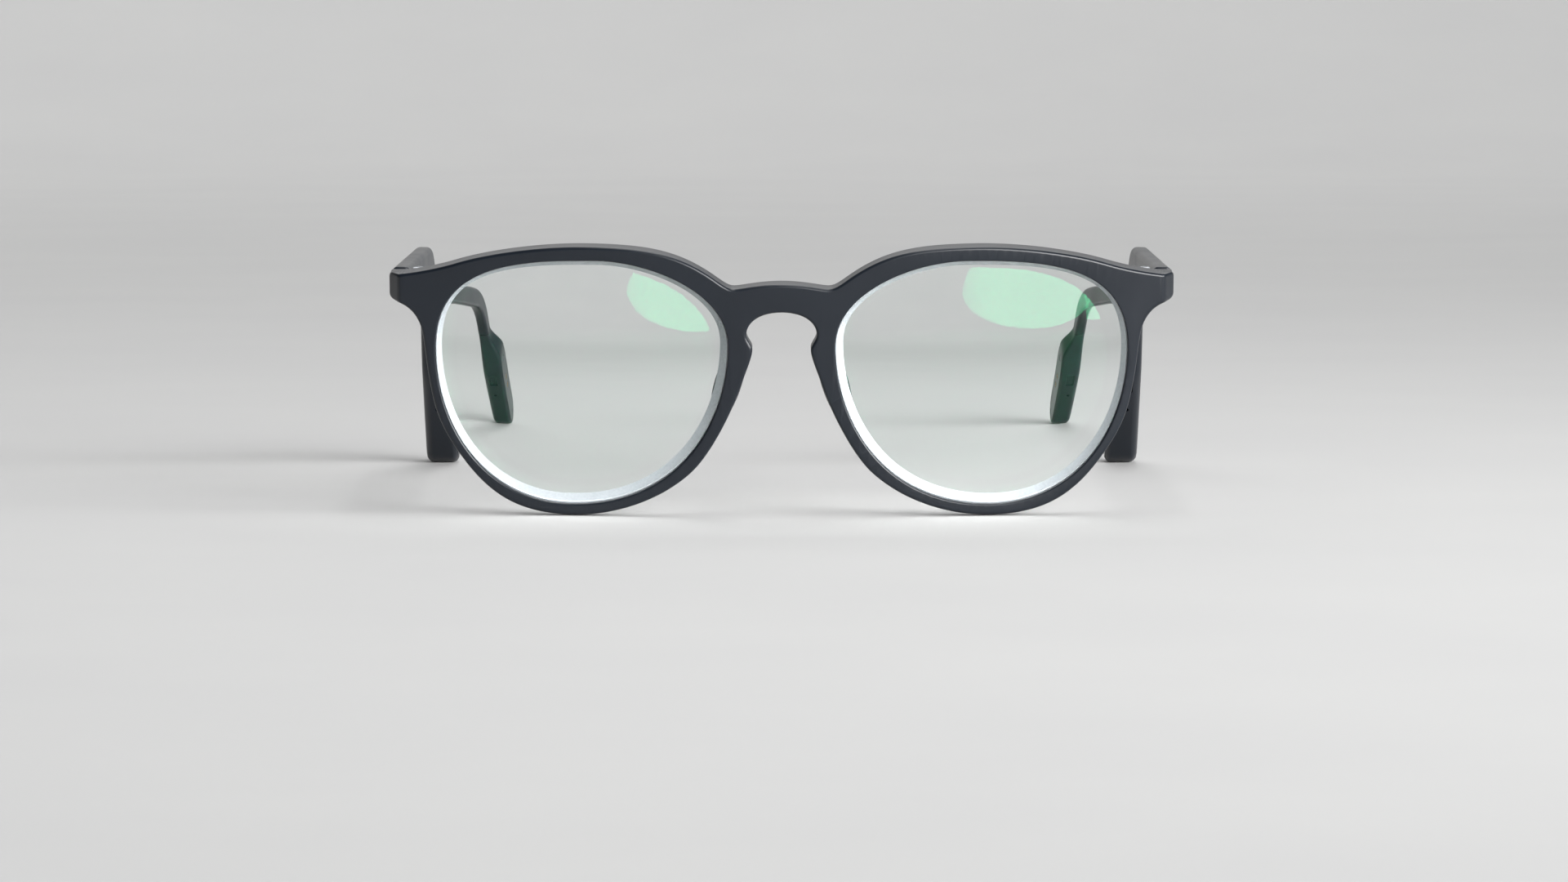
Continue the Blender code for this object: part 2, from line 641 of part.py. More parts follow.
def build_pod_shell(name, parent, mirrored, frame_material):
    """Outer half of the pod, with the cavity, the seat of the cover and all the openings in its walls."""
    place = pod_matrix()
    shell = add_part(name, pod_body(), frame_material, parent, mirrored)
    rebate = tray((10.5, 13.0, 15.5, 18.0, 36.5, 38.5, 40.0, 41.5), POD_INNER_X - 1, LEDGE_X, 0.6, 0.2)
    cavity = tray(CAVITY_STATIONS, POD_INNER_X - 0.8, CAVITY_X, 1.6, 0.2)
    socket = block((ARM_X - 1.3, -1.0, -2.2), (ARM_X + 1.3, 4.6, 2.2))
    wire_way = block((ARM_X - 0.7, 4.3, -1.3), (ARM_X + 0.7, 14.2, 1.3))
    boolean(shell, rebate, "DIFFERENCE", mirrored)
    boolean(shell, cavity, "DIFFERENCE", mirrored)
    boolean(shell, moved(socket, place), "DIFFERENCE", mirrored)
    boolean(shell, moved(wire_way, place), "DIFFERENCE", mirrored)
    screw_holes = [rod(0.7, (LEDGE_X - 1, u, 0), (LEDGE_X + 2.2, u, 0), 12) for u in SCREWS_U]
    button_hole = block((BUTTON_X - 1.2, BUTTON_U - 2.7, 3), (BUTTON_X + 1.2, BUTTON_U + 2.7, 8), 0.3)
    light_hole = rod(0.85, (BUTTON_X, LIGHT_U, 3), (BUTTON_X, LIGHT_U, 8), 16)
    speaker_slot = block((64.9, MESH_U[0] + 0.6, -8), (66.7, MESH_U[1] - 0.6, -3))
    mesh_seat = block((64.4, MESH_U[0] - 0.25, -8), (67.2, MESH_U[1] + 0.25, -5.2))
    microphone_port = rod(0.45, (66.0, 24.0, -8), (66.0, 24.0, -3.5), 10)
    openings = joined(*screw_holes, button_hole, light_hole, speaker_slot, microphone_port)
    boolean(shell, moved(openings, place), "DIFFERENCE", mirrored)
    boolean(shell, moved(mesh_seat, place), "DIFFERENCE", mirrored)


def build_pod_cover(name, parent, mirrored, frame_material):
    """Flat inner cover that touches the head and the charging dock, with holes for its screws and contacts."""
    place = pod_matrix()
    body = tray(COVER_STATIONS, POD_INNER_X, POD_INNER_X + COVER_THICKNESS, 0.85, 0.2)
    cover = add_part(name, body, frame_material, parent, mirrored)
    holes = []
    for u in SCREWS_U:
        holes.append(rod(0.75, (POD_INNER_X - 1, u, 0), (POD_INNER_X + 2, u, 0), 16))
    for u in CONTACTS_U:
        holes.append(rod(1.25, (POD_INNER_X - 1, u, 0), (POD_INNER_X + 2, u, 0), 20))
    boolean(cover, moved(joined(*holes), place), "DIFFERENCE", mirrored)
    sinks = [rod(1.2, (POD_INNER_X - 1, u, 0), (POD_INNER_X + 0.45, u, 0), 16) for u in SCREWS_U]
    boolean(cover, moved(joined(*sinks), place), "DIFFERENCE", mirrored)


def build_pod_seal(name, parent, mirrored, rubber):
    """Flat rubber ring between the cover and the ledge of the shell."""
    x_low = POD_INNER_X + COVER_THICKNESS + FIT_GAP
    ring = tray((14.0, 15.5, 18.0, 36.5, 37.9), x_low, x_low + SEAL_THICKNESS, 0.9, 0.05)
    seal = add_part(name, ring, rubber, parent, mirrored)
    inside = tray((14.8, 16.0, 18.0, 37.0), x_low - 1, x_low + 2, 1.7, 0.05)
    boolean(seal, inside, "DIFFERENCE", mirrored)


def build_pod_screw(name, parent, mirrored, steel, u):
    """Small countersunk screw through the cover into the shell."""
    place = pod_matrix() @ Matrix.Translation((POD_INNER_X, u, 0)) @ Matrix.Rotation(-math.pi / 2, 4, "Y")
    profile = [(0, -3.3), (0.4, -3.3), (0.45, -3.1), (0.45, -0.4), (0.95, -0.4), (0.95, -0.08), (0, -0.08)]
    screw = add_part(name, turned(profile, place, 14), steel, parent, mirrored)
    slot = block((POD_INNER_X - 1, u - 0.13, -1.5), (POD_INNER_X + 0.25, u + 0.13, 1.5))
    boolean(screw, moved(slot, pod_matrix()), "DIFFERENCE", mirrored)


# ---------------------------------------------------------------- what the pod holds

BOARD_X = (66.95, 67.45)


def build_button(name, parent, mirrored, plastic):
    """Push button in the pod's upper edge, kept in by a flange inside the wall."""
    flange = block((BUTTON_X - 1.5, BUTTON_U - 3.0, 3.75), (BUTTON_X + 1.1, BUTTON_U + 3.0, 4.15), 0.1)
    button = add_part(name, moved(flange, pod_matrix()), plastic, parent, mirrored)
    cap = block((BUTTON_X - 0.9, BUTTON_U - 2.4, 4.0), (BUTTON_X + 0.9, BUTTON_U + 2.4, 6.35), 0.25)
    boolean(button, moved(cap, pod_matrix()), "UNION", mirrored)


def build_speaker(name, parent, mirrored, metal):
    """Flat speaker module, its mouth towards the slot in the lower edge."""
    case = block((64.0, 14.4, -3.6), (66.6, 20.0, 2.2), 0.35)
    speaker = add_part(name, moved(case, pod_matrix()), metal, parent, mirrored)
    mouth = block((64.9, 15.4, -5.0), (66.1, 18.4, -3.2))
    boolean(speaker, moved(mouth, pod_matrix()), "DIFFERENCE", mirrored)


def build_speaker_mesh(name, parent, mirrored, steel):
    """Fine mesh plate over the speaker's slot."""
    plate = block((64.65, MESH_U[0], -5.95), (66.95, MESH_U[1], -5.45), 0.1)
    add_part(name, moved(plate, pod_matrix()), steel, parent, mirrored)


def build_blocks(side, parent, mirrored):
    """The plain rectangular pieces of the pod."""
    steel = material("stainless steel", "b9bcc0", 0.3, 1.0)
    pieces = (
        ("circuit_board", (BOARD_X[0], 14.2, -3.9), (BOARD_X[1], 37.6, 3.4), 0.0,
         material("green solder mask", "14432c", 0.5)),
        ("battery", (64.3, 27.4, -3.7), (66.6, 37.6, 3.5), 0.3, material("battery foil", "9fa3a8", 0.35, 0.6)),
        ("radio_shield", (65.4, 20.9, -1.9), (66.7, 26.7, 1.3), 0.15, steel),
        ("microphone", (65.5, 22.7, -4.1), (66.7, 25.3, -2.4), 0.1, steel),
        ("button_switch", (65.0, 22.4, 1.8), (66.7, 25.6, 3.2), 0.1, material("switch plastic", "1a1b1e", 0.5)),
        ("antenna", (64.4, 28.0, 3.8), (66.6, 37.0, 4.05), 0.0, material("copper", "b06a3c", 0.35, 1.0)),
    )
    for name, low, high, rounding, mat in pieces:
        add_part(f"{name}_{side}", moved(block(low, high, rounding), pod_matrix()), mat, parent, mirrored, False)


def build_round_pieces(side, parent, mirrored):
    """Charge contacts, dock magnet and light pipe."""
    gold = material("gold plate", "c79a4b", 0.25, 1.0)
    for number, u in enumerate(CONTACTS_U, 1):
        pad = rod(1.0, (POD_INNER_X + 0.05, u, 0), (POD_INNER_X + 1.5, u, 0), 20)
        add_part(f"charge_contact_{number}_{side}", moved(pad, pod_matrix()), gold, parent, mirrored)
    disc = rod(2.0, (POD_INNER_X + 1.2, 32.0, 0), (POD_INNER_X + 1.65, 32.0, 0), 24)
    nickel = material("nickel plate", "c5c3bd", 0.25, 1.0)
    add_part(f"dock_magnet_{side}", moved(disc, pod_matrix()), nickel, parent, mirrored)
    pipe = rod(0.6, (BUTTON_X, LIGHT_U, 3.6), (BUTTON_X, LIGHT_U, 6.05), 16)
    clear = material("clear acrylic", "e8eef2", 0.1)
    add_part(f"light_pipe_{side}", moved(pipe, pod_matrix()), clear, parent, mirrored)


# ---------------------------------------------------------------- assembly

def build_side(side, mirrored, front):
    """Everything of one side: its lens, pad and hinge on the front, and its temple with the pod."""
    frame_plastic = material("satin slate nylon", "3a4046", 0.42)
    steel = material("stainless steel", "b9bcc0", 0.3, 1.0)
    build_lens(f"lens_{side}", front, mirrored, material("coated lens", "dfe9e6", 0.03))
    build_nose_pad(f"nose_pad_{side}", front, mirrored, frame_plastic)
    build_front_hinge(f"front_hinge_{side}", front, mirrored, steel)
    build_hinge_rivet(f"hinge_rivet_{side}", front, mirrored, steel)
    build_hinge_screw(f"hinge_screw_{side}", front, mirrored, steel)

    flip = Matrix.Scale(-1, 4, (1, 0, 0)) if mirrored else Matrix.Identity(4)
    hinge = Matrix.Translation(flip @ HINGE) @ Matrix.Rotation(TILT, 4, "X")
    temple = datum(f"temple_axis_{side}", hinge)
    build_temple_hinge(f"temple_hinge_{side}", temple, mirrored, steel)
    build_arm(f"temple_arm_{side}", temple, mirrored, frame_plastic)
    build_core_wire(f"core_wire_{side}", temple, mirrored, steel)
    build_pod_shell(f"pod_shell_{side}", temple, mirrored, frame_plastic)
    build_pod_cover(f"pod_cover_{side}", temple, mirrored, frame_plastic)
    build_pod_seal(f"pod_seal_{side}", temple, mirrored, material("seal rubber", "202124", 0.8))
    for place, u in zip(("front", "rear"), SCREWS_U):
        build_pod_screw(f"pod_screw_{place}_{side}", temple, mirrored, steel, u)
    build_speaker(f"speaker_{side}", temple, mirrored, steel)
    build_speaker_mesh(f"speaker_mesh_{side}", temple, mirrored, steel)
    build_blocks(side, temple, mirrored)
    build_round_pieces(side, temple, mirrored)

    press = Matrix.Translation(flip @ (pod_matrix() @ Vector((BUTTON_X, BUTTON_U, POD_HALF_HEIGHT))))
    button_axis = datum(f"button_axis_{side}", press @ Matrix.Rotation(-BEND, 4, "X"))
    build_button(f"button_{side}", button_axis, mirrored, material("button plastic", "2b2f34", 0.5))


def build_glasses():
    clear_scene()
    front = datum("front_datum", FRONT)
    build_front(front, material("satin slate nylon", "3a4046", 0.42))
    build_side("left", False, front)
    build_side("right", True, front)


build_glasses()
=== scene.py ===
import json
import math

import bmesh
import bpy
from mathutils import Matrix, Vector
from mathutils.geometry import interpolate_bezier


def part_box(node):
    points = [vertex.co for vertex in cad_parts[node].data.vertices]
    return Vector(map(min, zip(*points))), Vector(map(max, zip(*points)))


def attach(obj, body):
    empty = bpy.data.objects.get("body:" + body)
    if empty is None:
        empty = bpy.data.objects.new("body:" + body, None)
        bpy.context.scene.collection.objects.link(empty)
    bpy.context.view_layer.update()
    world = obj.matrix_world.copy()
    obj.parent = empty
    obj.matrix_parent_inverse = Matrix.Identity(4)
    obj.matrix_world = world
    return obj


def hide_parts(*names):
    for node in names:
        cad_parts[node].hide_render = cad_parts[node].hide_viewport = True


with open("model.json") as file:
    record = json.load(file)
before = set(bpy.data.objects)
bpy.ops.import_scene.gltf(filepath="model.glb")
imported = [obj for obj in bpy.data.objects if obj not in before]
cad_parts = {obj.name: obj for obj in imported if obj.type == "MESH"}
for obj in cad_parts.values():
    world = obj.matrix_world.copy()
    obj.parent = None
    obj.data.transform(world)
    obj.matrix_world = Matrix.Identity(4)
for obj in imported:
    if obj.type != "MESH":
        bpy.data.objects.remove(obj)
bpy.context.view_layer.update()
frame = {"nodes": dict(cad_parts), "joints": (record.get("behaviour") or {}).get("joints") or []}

joints = {joint["name"]: joint for joint in frame["joints"]}
SIDES = (("left", False), ("right", True))


# -------------------------------------------------- front
# The front is one moulding of nylon 12 that carries everything else: two round rims, a keyhole bridge and two
# end pieces. It is tumbled smooth, dyed a dark slate and lacquered with a satin soft-touch coat. Sizes are in
# millimetres, and front coordinates are across the face, back from its front, and up from the lens centres.

MM = 0.001
HINGE_IN_FRONT = Vector((63.9, 13.5, 15.4))
fold = joints["temple_fold_left"]
HINGE = Vector(fold["pos_m"]) / MM
LEAN = Matrix.Rotation(math.asin(-fold["axis"][1]), 4, "X")
FRONT = Matrix.Translation(HINGE - LEAN @ HINGE_IN_FRONT) @ LEAN

FRONT_DEPTH = 4.0
WRAP_RADIUS = 320.0
# x, z, heading in degrees, reach of the curve's handle before and after the point
HALF_OUTLINE = [
    (0.0, 17.7, 0, 0.0, 4.0),
    (8.3, 16.85, 0, 1.4, 1.1),
    (11.9, 18.75, 35, 1.8, 7.8),
    (33.6, 24.0, 0, 9.8, 8.5),
    (57.0, 20.4, -19, 5.8, 3.8),
    (67.9, 17.85, -8, 3.0, 0.6),
    (68.9, 16.9, -90, 0.6, 1.0),
    (68.9, 13.9, -90, 1.0, 0.6),
    (67.9, 12.95, -176, 0.6, 1.4),
    (62.9, 7.0, -98, 4.6, 2.2),
    (62.0, 0.0, -99, 2.6, 5.6),
    (56.4, -14.3, -126, 6.8, 8.0),
    (37.0, -24.3, -180, 9.8, 8.2),
    (16.0, -16.4, -223, 6.9, 5.0),
    (6.9, 0.0, -252, 5.2, 2.4),
    (5.1, 6.0, -270, 1.4, 0.7),
    (6.15, 8.6, -270, 0.9, 2.2),
    (0.0, 12.65, -180, 3.9, 0.0),
]
LENS_OUTLINE = [
    (9.4, 6.6, 90, 13.2, 9.6),
    (32.0, 21.5, 0, 9.0, 16.4),
    (60.7, 4.9, -90, 14.2, 15.0),
    (37.2, -22.3, -180, 14.4, 19.6),
]
EDGE_ROUND = 0.55
MOUTH_ROUND = 0.35
BACK_ROUND = 0.4
GROOVE_Y = 1.6
GROOVE_DEPTH = 0.6
GROOVE_HALF_FLOOR = 0.1
# How far the cutter of a rim's mouth stands out past the front's faces, and where it starts to round
CUTTER_REACH = 0.6
CUTTER_LIP = 0.02
# The front is cut into strips before it is wrapped: coarse ones over the rims, fine ones at the end pieces
STRIP = 1.6
FINE_STRIP = 0.2
COARSE_STRIPS_TO = 66.0
FINE_STRIPS_FROM = 66.2
CORNER_X = 67.15
CORNER_SOFTNESS = 0.16
CORNER_SLOPE = 1.9
# The turn between faces, in radians, at which handling has polished an edge fully
FULL_WEAR_TURN = 0.3


def traced(knots, step, closed):
    """Points along the smooth curve through the knots, about one step apart."""
    points = []
    for index in range(len(knots) if closed else len(knots) - 1):
        x0, z0, heading0, _, reach0 = knots[index]
        x1, z1, heading1, reach1, _ = knots[(index + 1) % len(knots)]
        start, end = Vector((x0, z0)), Vector((x1, z1))
        out = Vector((math.cos(math.radians(heading0)), math.sin(math.radians(heading0))))
        into = Vector((math.cos(math.radians(heading1)), math.sin(math.radians(heading1))))
        steps = max(4, round((end - start).length / step))
        curve = interpolate_bezier(start, start + out * reach0, end - into * reach1, end, steps + 1)
        points.extend(curve[:-1])
    if not closed:
        points.append(Vector(knots[-1][:2]))
    return points


def offset_loop(points, distance):
    """A clockwise loop moved outwards by a distance, or inwards by a negative one."""
    loop = []
    for index, point in enumerate(points):
        before = (point - points[index - 1]).normalized()
        after = (points[(index + 1) % len(points)] - point).normalized()
        along = (before + after).normalized()
        loop.append(point + Vector((-along.y, along.x)) * distance / max(0.5, along.dot(after)))
    return loop


def quarter(radius, steps=4):
    """A rounded edge, from the face round to the side: (depth below the face, distance inside the side)."""
    turns = [math.radians(90 * step / steps) for step in range(steps + 1)]
    return [(radius * (1 - math.cos(turn)), radius * (1 - math.sin(turn))) for turn in turns]


def lofted(sections):
    """A closed solid through like loops of points: a face on the first, extruded to each of the others."""
    bm = bmesh.new()
    first = cap = bm.faces.new([bm.verts.new(point) for point in sections[0]])
    for section in sections[1:]:
        grown = bmesh.ops.extrude_face_region(bm, geom=[cap])["geom"]
        if cap is not first:
            bmesh.ops.delete(bm, geom=[cap], context="FACES_ONLY")
        cap = next(part for part in grown if isinstance(part, bmesh.types.BMFace))
        for vert, point in zip(cap.verts, section):
            vert.co = point
    bmesh.ops.recalc_face_normals(bm, faces=bm.faces)
    return bm


def combined(bm, tools, operation="DIFFERENCE"):
    """The solid with the tools cut from it, or joined to it, by exact Booleans."""
    made = []
    for solid in [bm, *tools]:
        mesh = bpy.data.meshes.new("workpiece")
        solid.to_mesh(mesh)
        solid.free()
        made.append(bpy.data.objects.new("workpiece", mesh))
        bpy.context.scene.collection.objects.link(made[-1])
    for tool in made[1:]:
        modifier = made[0].modifiers.new("boolean", "BOOLEAN")
        modifier.operation = operation
        modifier.object = tool
        modifier.solver = "EXACT"
    evaluated = made[0].evaluated_get(bpy.context.evaluated_depsgraph_get())
    result = bmesh.new()
    result.from_mesh(evaluated.to_mesh())
    for workpiece in made:
        mesh = workpiece.data
        bpy.data.objects.remove(workpiece)
        bpy.data.meshes.remove(mesh)
    return result


def placed(bm, matrix):
    """The solid, moved, turned or scaled by a matrix."""
    bm.transform(matrix)
    return bm


def mirror_across(bm):
    """Makes a left solid a right one."""
    bm.transform(Matrix.Scale(-1, 4, (1, 0, 0)))
    bmesh.ops.reverse_faces(bm, faces=bm.faces)


def verts_of(parts):
    """The vertices among the parts that an operator has made."""
    return [part for part in parts if isinstance(part, bmesh.types.BMVert)]


def cut_across(bm, point, normal):
    """Cuts every face along a plane, so that the solid can be bent there."""
    bmesh.ops.bisect_plane(
        bm, geom=bm.verts[:] + bm.edges[:] + bm.faces[:], dist=1e-4, plane_co=point, plane_no=normal
    )


def round_edges(bm, edges, radius, segments=3):
    """Rounds some of a solid's edges."""
    bmesh.ops.bevel(
        bm, geom=edges, offset=radius, segments=segments, profile=0.5, affect="EDGES", material=-1
    )


def sag(x):
    """How far the wrapped front lies behind its middle, at x."""
    return WRAP_RADIUS - math.sqrt(WRAP_RADIUS ** 2 - x * x)


def corner(x):
    """How far the front face turns back beyond the crisp corner of an end piece."""
    return CORNER_SLOPE * CORNER_SOFTNESS * math.log1p(math.exp((abs(x) - CORNER_X) / CORNER_SOFTNESS))


def wrapped(bm, strips):
    """A flat solid, cut across at the strips, wrapped round the face and leaned to its place."""
    for x in strips:
        cut_across(bm, (x, 0, 0), (1, 0, 0))
    bmesh.ops.triangulate(bm, faces=[face for face in bm.faces if len(face.verts) > 4])
    for vert in bm.verts:
        turn = corner(vert.co.x) * min(1.0, max(0.0, 1 - vert.co.y / FRONT_DEPTH))
        vert.co.y += sag(vert.co.x) + turn
    return placed(bm, FRONT)


def rounded_block(low, high, radius, segments=3):
    """A box between two corners with rounded edges."""
    bm = bmesh.new()
    size = Vector(high) - Vector(low)
    middle = (Vector(high) + Vector(low)) / 2
    bmesh.ops.create_cube(bm, size=1.0, matrix=Matrix.Translation(middle) @ Matrix.Diagonal((*size, 1)))
    if radius:
        round_edges(bm, bm.edges[:], radius, segments)
    return bm


def make_piece(name, bm, body, finishes, mirrored=False, sharp=40):
    """The finished object of one piece, in metres, riding on its body. It carries how sharply its edges turn,
    for the lacquer's wear."""
    wear = bm.verts.layers.float.new("edge_wear")
    for vert in bm.verts:
        turn = max((edge.calc_face_angle(0.0) for edge in vert.link_edges), default=0.0)
        vert[wear] = min(1.0, turn / FULL_WEAR_TURN)
    bm.transform(Matrix.Scale(MM, 4))
    if mirrored:
        mirror_across(bm)
    mesh = bpy.data.meshes.new(name)
    bm.to_mesh(mesh)
    bm.free()
    for finish in finishes:
        mesh.materials.append(finish)
    mesh.shade_smooth()
    mesh.set_sharp_from_angle(angle=math.radians(sharp))
    piece = bpy.data.objects.new(name, mesh)
    bpy.context.scene.collection.objects.link(piece)
    even = piece.modifiers.new("even_shading", "WEIGHTED_NORMAL")
    even.keep_sharp = True
    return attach(piece, body)


def linear(colour):
    """A shader colour from an sRGB hex colour."""
    parts = [int(colour[at:at + 2], 16) / 255 for at in (0, 2, 4)]
    return (*[part / 12.92 if part <= 0.04045 else ((part + 0.055) / 1.055) ** 2.4 for part in parts], 1.0)


def add_node(tree, kind, inputs, **settings):
    """Adds a shader node. An input is a value, or the output of another node."""
    made = tree.nodes.new(kind)
    for name, value in settings.items():
        setattr(made, name, value)
    for name, value in inputs.items():
        if isinstance(value, bpy.types.NodeSocket):
            tree.links.new(value, made.inputs[name])
        else:
            made.inputs[name].default_value = value
    return made


def new_finish(name):
    """An empty material with its Principled shader, and Object coordinates to hang patterns on."""
    finish = bpy.data.materials.new(name)
    finish.use_nodes = True
    tree = finish.node_tree
    shader = tree.nodes["Principled BSDF"]
    place = tree.nodes.new("ShaderNodeTexCoord").outputs["Object"]
    return finish, tree, shader, place


def soft_touch_nylon(name, dark, light, roughness):
    """Dyed nylon under satin soft-touch lacquer: a broad soft sheen with no mirror image, a fine orange peel,
    and edges that handling has polished. The lacquer's grain, 0.12 mm, is drawn at 0.25 mm to show."""
    finish, tree, shader, place = new_finish(name)
    cloud = add_node(tree, "ShaderNodeTexNoise", {"Vector": place, "Scale": 70.0, "Detail": 3.0})
    grain = add_node(tree, "ShaderNodeTexNoise", {"Vector": place, "Scale": 4000.0, "Detail": 2.0})
    peel = add_node(tree, "ShaderNodeTexNoise", {"Vector": place, "Scale": 700.0, "Detail": 2.0})
    wear = add_node(tree, "ShaderNodeAttribute", {}, attribute_name="edge_wear")
    shade = add_node(
        tree, "ShaderNodeMix", {0: cloud.outputs["Fac"], 6: linear(dark), 7: linear(light)}, data_type="RGBA"
    )
    spread = add_node(
        tree, "ShaderNodeMapRange",
        {"Value": cloud.outputs["Fac"], "From Min": 0.3, "From Max": 0.7, "To Min": roughness - 0.02,
         "To Max": roughness + 0.03}
    )
    polished = add_node(
        tree, "ShaderNodeMath", {0: wear.outputs["Fac"], 1: -0.05, 2: spread.outputs["Result"]},
        operation="MULTIPLY_ADD"
    )
    height = add_node(
        tree, "ShaderNodeMath", {0: peel.outputs["Fac"], 1: 1.5, 2: grain.outputs["Fac"]},
        operation="MULTIPLY_ADD"
    )
    bump = add_node(
        tree, "ShaderNodeBump", {"Height": height.outputs["Value"], "Strength": 0.12, "Distance": 0.00003}
    )
    tree.links.new(shade.outputs[2], shader.inputs["Base Color"])
    tree.links.new(polished.outputs["Value"], shader.inputs["Roughness"])
    tree.links.new(bump.outputs["Normal"], shader.inputs["Normal"])
    shader.inputs["IOR"].default_value = 1.45
    shader.inputs["Specular IOR Level"].default_value = 0.5
    return finish


slate_nylon = soft_touch_nylon("soft_touch_slate_nylon", "0c1118", "121820", 0.36)

half = traced(HALF_OUTLINE, 0.55, closed=False)
front_outline = half + [Vector((-point.x, point.y)) for point in reversed(half[1:-1])]
slab_edge = quarter(EDGE_ROUND)
slab_profile = slab_edge + [(FRONT_DEPTH - y, inside) for y, inside in reversed(slab_edge)]
slab = lofted([
    [(point.x, y, point.y) for point in offset_loop(front_outline, -inside)] for y, inside in slab_profile
])

# The rim's mouth: a rounded front edge, the V groove that the lens snaps into, and a rounded back edge
mouth_profile = [(-CUTTER_REACH, MOUTH_ROUND), (-CUTTER_LIP, MOUTH_ROUND)] + quarter(MOUTH_ROUND)[1:]
mouth_profile += [
    (GROOVE_Y - GROOVE_DEPTH - GROOVE_HALF_FLOOR, 0.0),
    (GROOVE_Y - GROOVE_HALF_FLOOR, GROOVE_DEPTH),
    (GROOVE_Y + GROOVE_HALF_FLOOR, GROOVE_DEPTH),
    (GROOVE_Y + GROOVE_DEPTH + GROOVE_HALF_FLOOR, 0.0),
]
mouth_profile += [(FRONT_DEPTH - y, outside) for y, outside in reversed(quarter(BACK_ROUND)[1:])]
mouth_profile += [(FRONT_DEPTH + CUTTER_LIP, BACK_ROUND), (FRONT_DEPTH + CUTTER_REACH, BACK_ROUND)]
lens_outline = traced(LENS_OUTLINE, 0.6, closed=True)
mouths = []
for _, mirrored in SIDES:
    mouth = lofted([
        [(point.x, y, point.y) for point in offset_loop(lens_outline, outside)]
        for y, outside in mouth_profile
    ])
    if mirrored:
        mirror_across(mouth)
    mouths.append(mouth)
front = combined(slab, mouths)
strips = [STRIP * (index + 0.5) for index in range(int(COARSE_STRIPS_TO / STRIP))]
strips += [FINE_STRIPS_FROM + FINE_STRIP * index for index in range(13)]
front = wrapped(front, [side * x for x in strips for side in (-1, 1)])

# The lugs behind the end pieces, which seat the hinges and meet the arms
SEAT_Y = 11.4
BUTT_Y = HINGE_IN_FRONT.y - 0.15
LUG_PLAN = [
    (59.2, 9.0), (59.2, 8.0), (66.6, 9.6), (68.3, 10.6), (68.7, 11.3), (68.7, BUTT_Y), (65.3, BUTT_Y),
    (65.3, SEAT_Y), (60.0, SEAT_Y),
]
LUG_LOW = 13.05
LUG_HEIGHT = 4.6
LUG_ROUND = 0.35
POCKET = ((60.35, SEAT_Y - 1.1, 13.55), (65.15, SEAT_Y + 0.6, 17.25))
lugs, pockets = [], []
for _, mirrored in SIDES:
    lug = bmesh.new()
    floor = lug.faces.new([lug.verts.new((x, y, LUG_LOW)) for x, y in LUG_PLAN])
    raised = bmesh.ops.extrude_face_region(lug, geom=[floor])["geom"]
    bmesh.ops.translate(lug, verts=verts_of(raised), vec=(0, 0, LUG_HEIGHT))
    bmesh.ops.recalc_face_normals(lug, faces=lug.faces)
    round_edges(lug, lug.edges[:], LUG_ROUND)
    pocket = rounded_block(*POCKET, 0.0)
    for solid, group in ((lug, lugs), (pocket, pockets)):
        placed(solid, FRONT)
        if mirrored:
            mirror_across(solid)
        group.append(solid)
front = combined(combined(front, lugs, "UNION"), pockets)
front_moulding = make_piece("front_moulding", front, "front", [slate_nylon])
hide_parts("front_frame")


# -------------------------------------------------- lenses
# Two strong minus lenses of clear resin, thin in the middle and thick at the edge. Both faces are polished
# and carry a green anti-reflective coating. The edge is ground matt: a V bevel snaps into the rim's groove,
# and a broad safety bevel takes the sharp corner off the back and shows as a pale ring.

LENS_CENTRE_X = 35.0
LENS_SETBACK = -0.35
LENS_THICKNESS = 1.5
LENS_FRONT_RADIUS = 170.0
LENS_BACK_RADIUS = 65.0
LENS_GAP = 0.12
BEVEL_REACH = 0.5
BEVEL_HALF_WIDTH = 0.45
SAFETY_BEVEL = 1.3
# A face belongs to a polished surface if it lies this close to it and faces this much along the lens's axis
ON_SURFACE = 0.05
FACING = 0.7


def pass_light(tree, shader, share):
    """Lets lamps shine through clear glass, as they do through the real lens."""
    path = add_node(tree, "ShaderNodeLightPath", {})
    clear = add_node(tree, "ShaderNodeBsdfTransparent", {"Color": (share, share, share, 1.0)})
    mix = add_node(tree, "ShaderNodeMixShader", {0: path.outputs["Is Shadow Ray"]})
    tree.links.new(shader.outputs["BSDF"], mix.inputs[1])
    tree.links.new(clear.outputs["BSDF"], mix.inputs[2])
    tree.links.new(mix.outputs["Shader"], tree.nodes["Material Output"].inputs["Surface"])


def coated_lens(name, glow):
    """Clear lens resin, index 1.6, under a vacuum-deposited coating that reflects so much green. Wiping
    leaves faint smears."""
    finish, tree, shader, place = new_finish(name)
    smear = add_node(
        tree, "ShaderNodeTexNoise", {"Vector": place, "Scale": 90.0, "Detail": 4.0, "Distortion": 1.5}
    )
    haze = add_node(
        tree, "ShaderNodeMapRange",
        {"Value": smear.outputs["Fac"], "From Min": 0.5, "From Max": 0.75, "To Min": 0.0, "To Max": 0.03}
    )
    tree.links.new(haze.outputs["Result"], shader.inputs["Roughness"])
    shader.inputs["Base Color"].default_value = linear("f7fcfa")
    shader.inputs["Specular Tint"].default_value = (0.02 * glow, glow, 0.4 * glow, 1.0)
    shader.inputs["IOR"].default_value = 1.6
    shader.inputs["Transmission Weight"].default_value = 1.0
    pass_light(tree, shader, 0.94)
    return finish


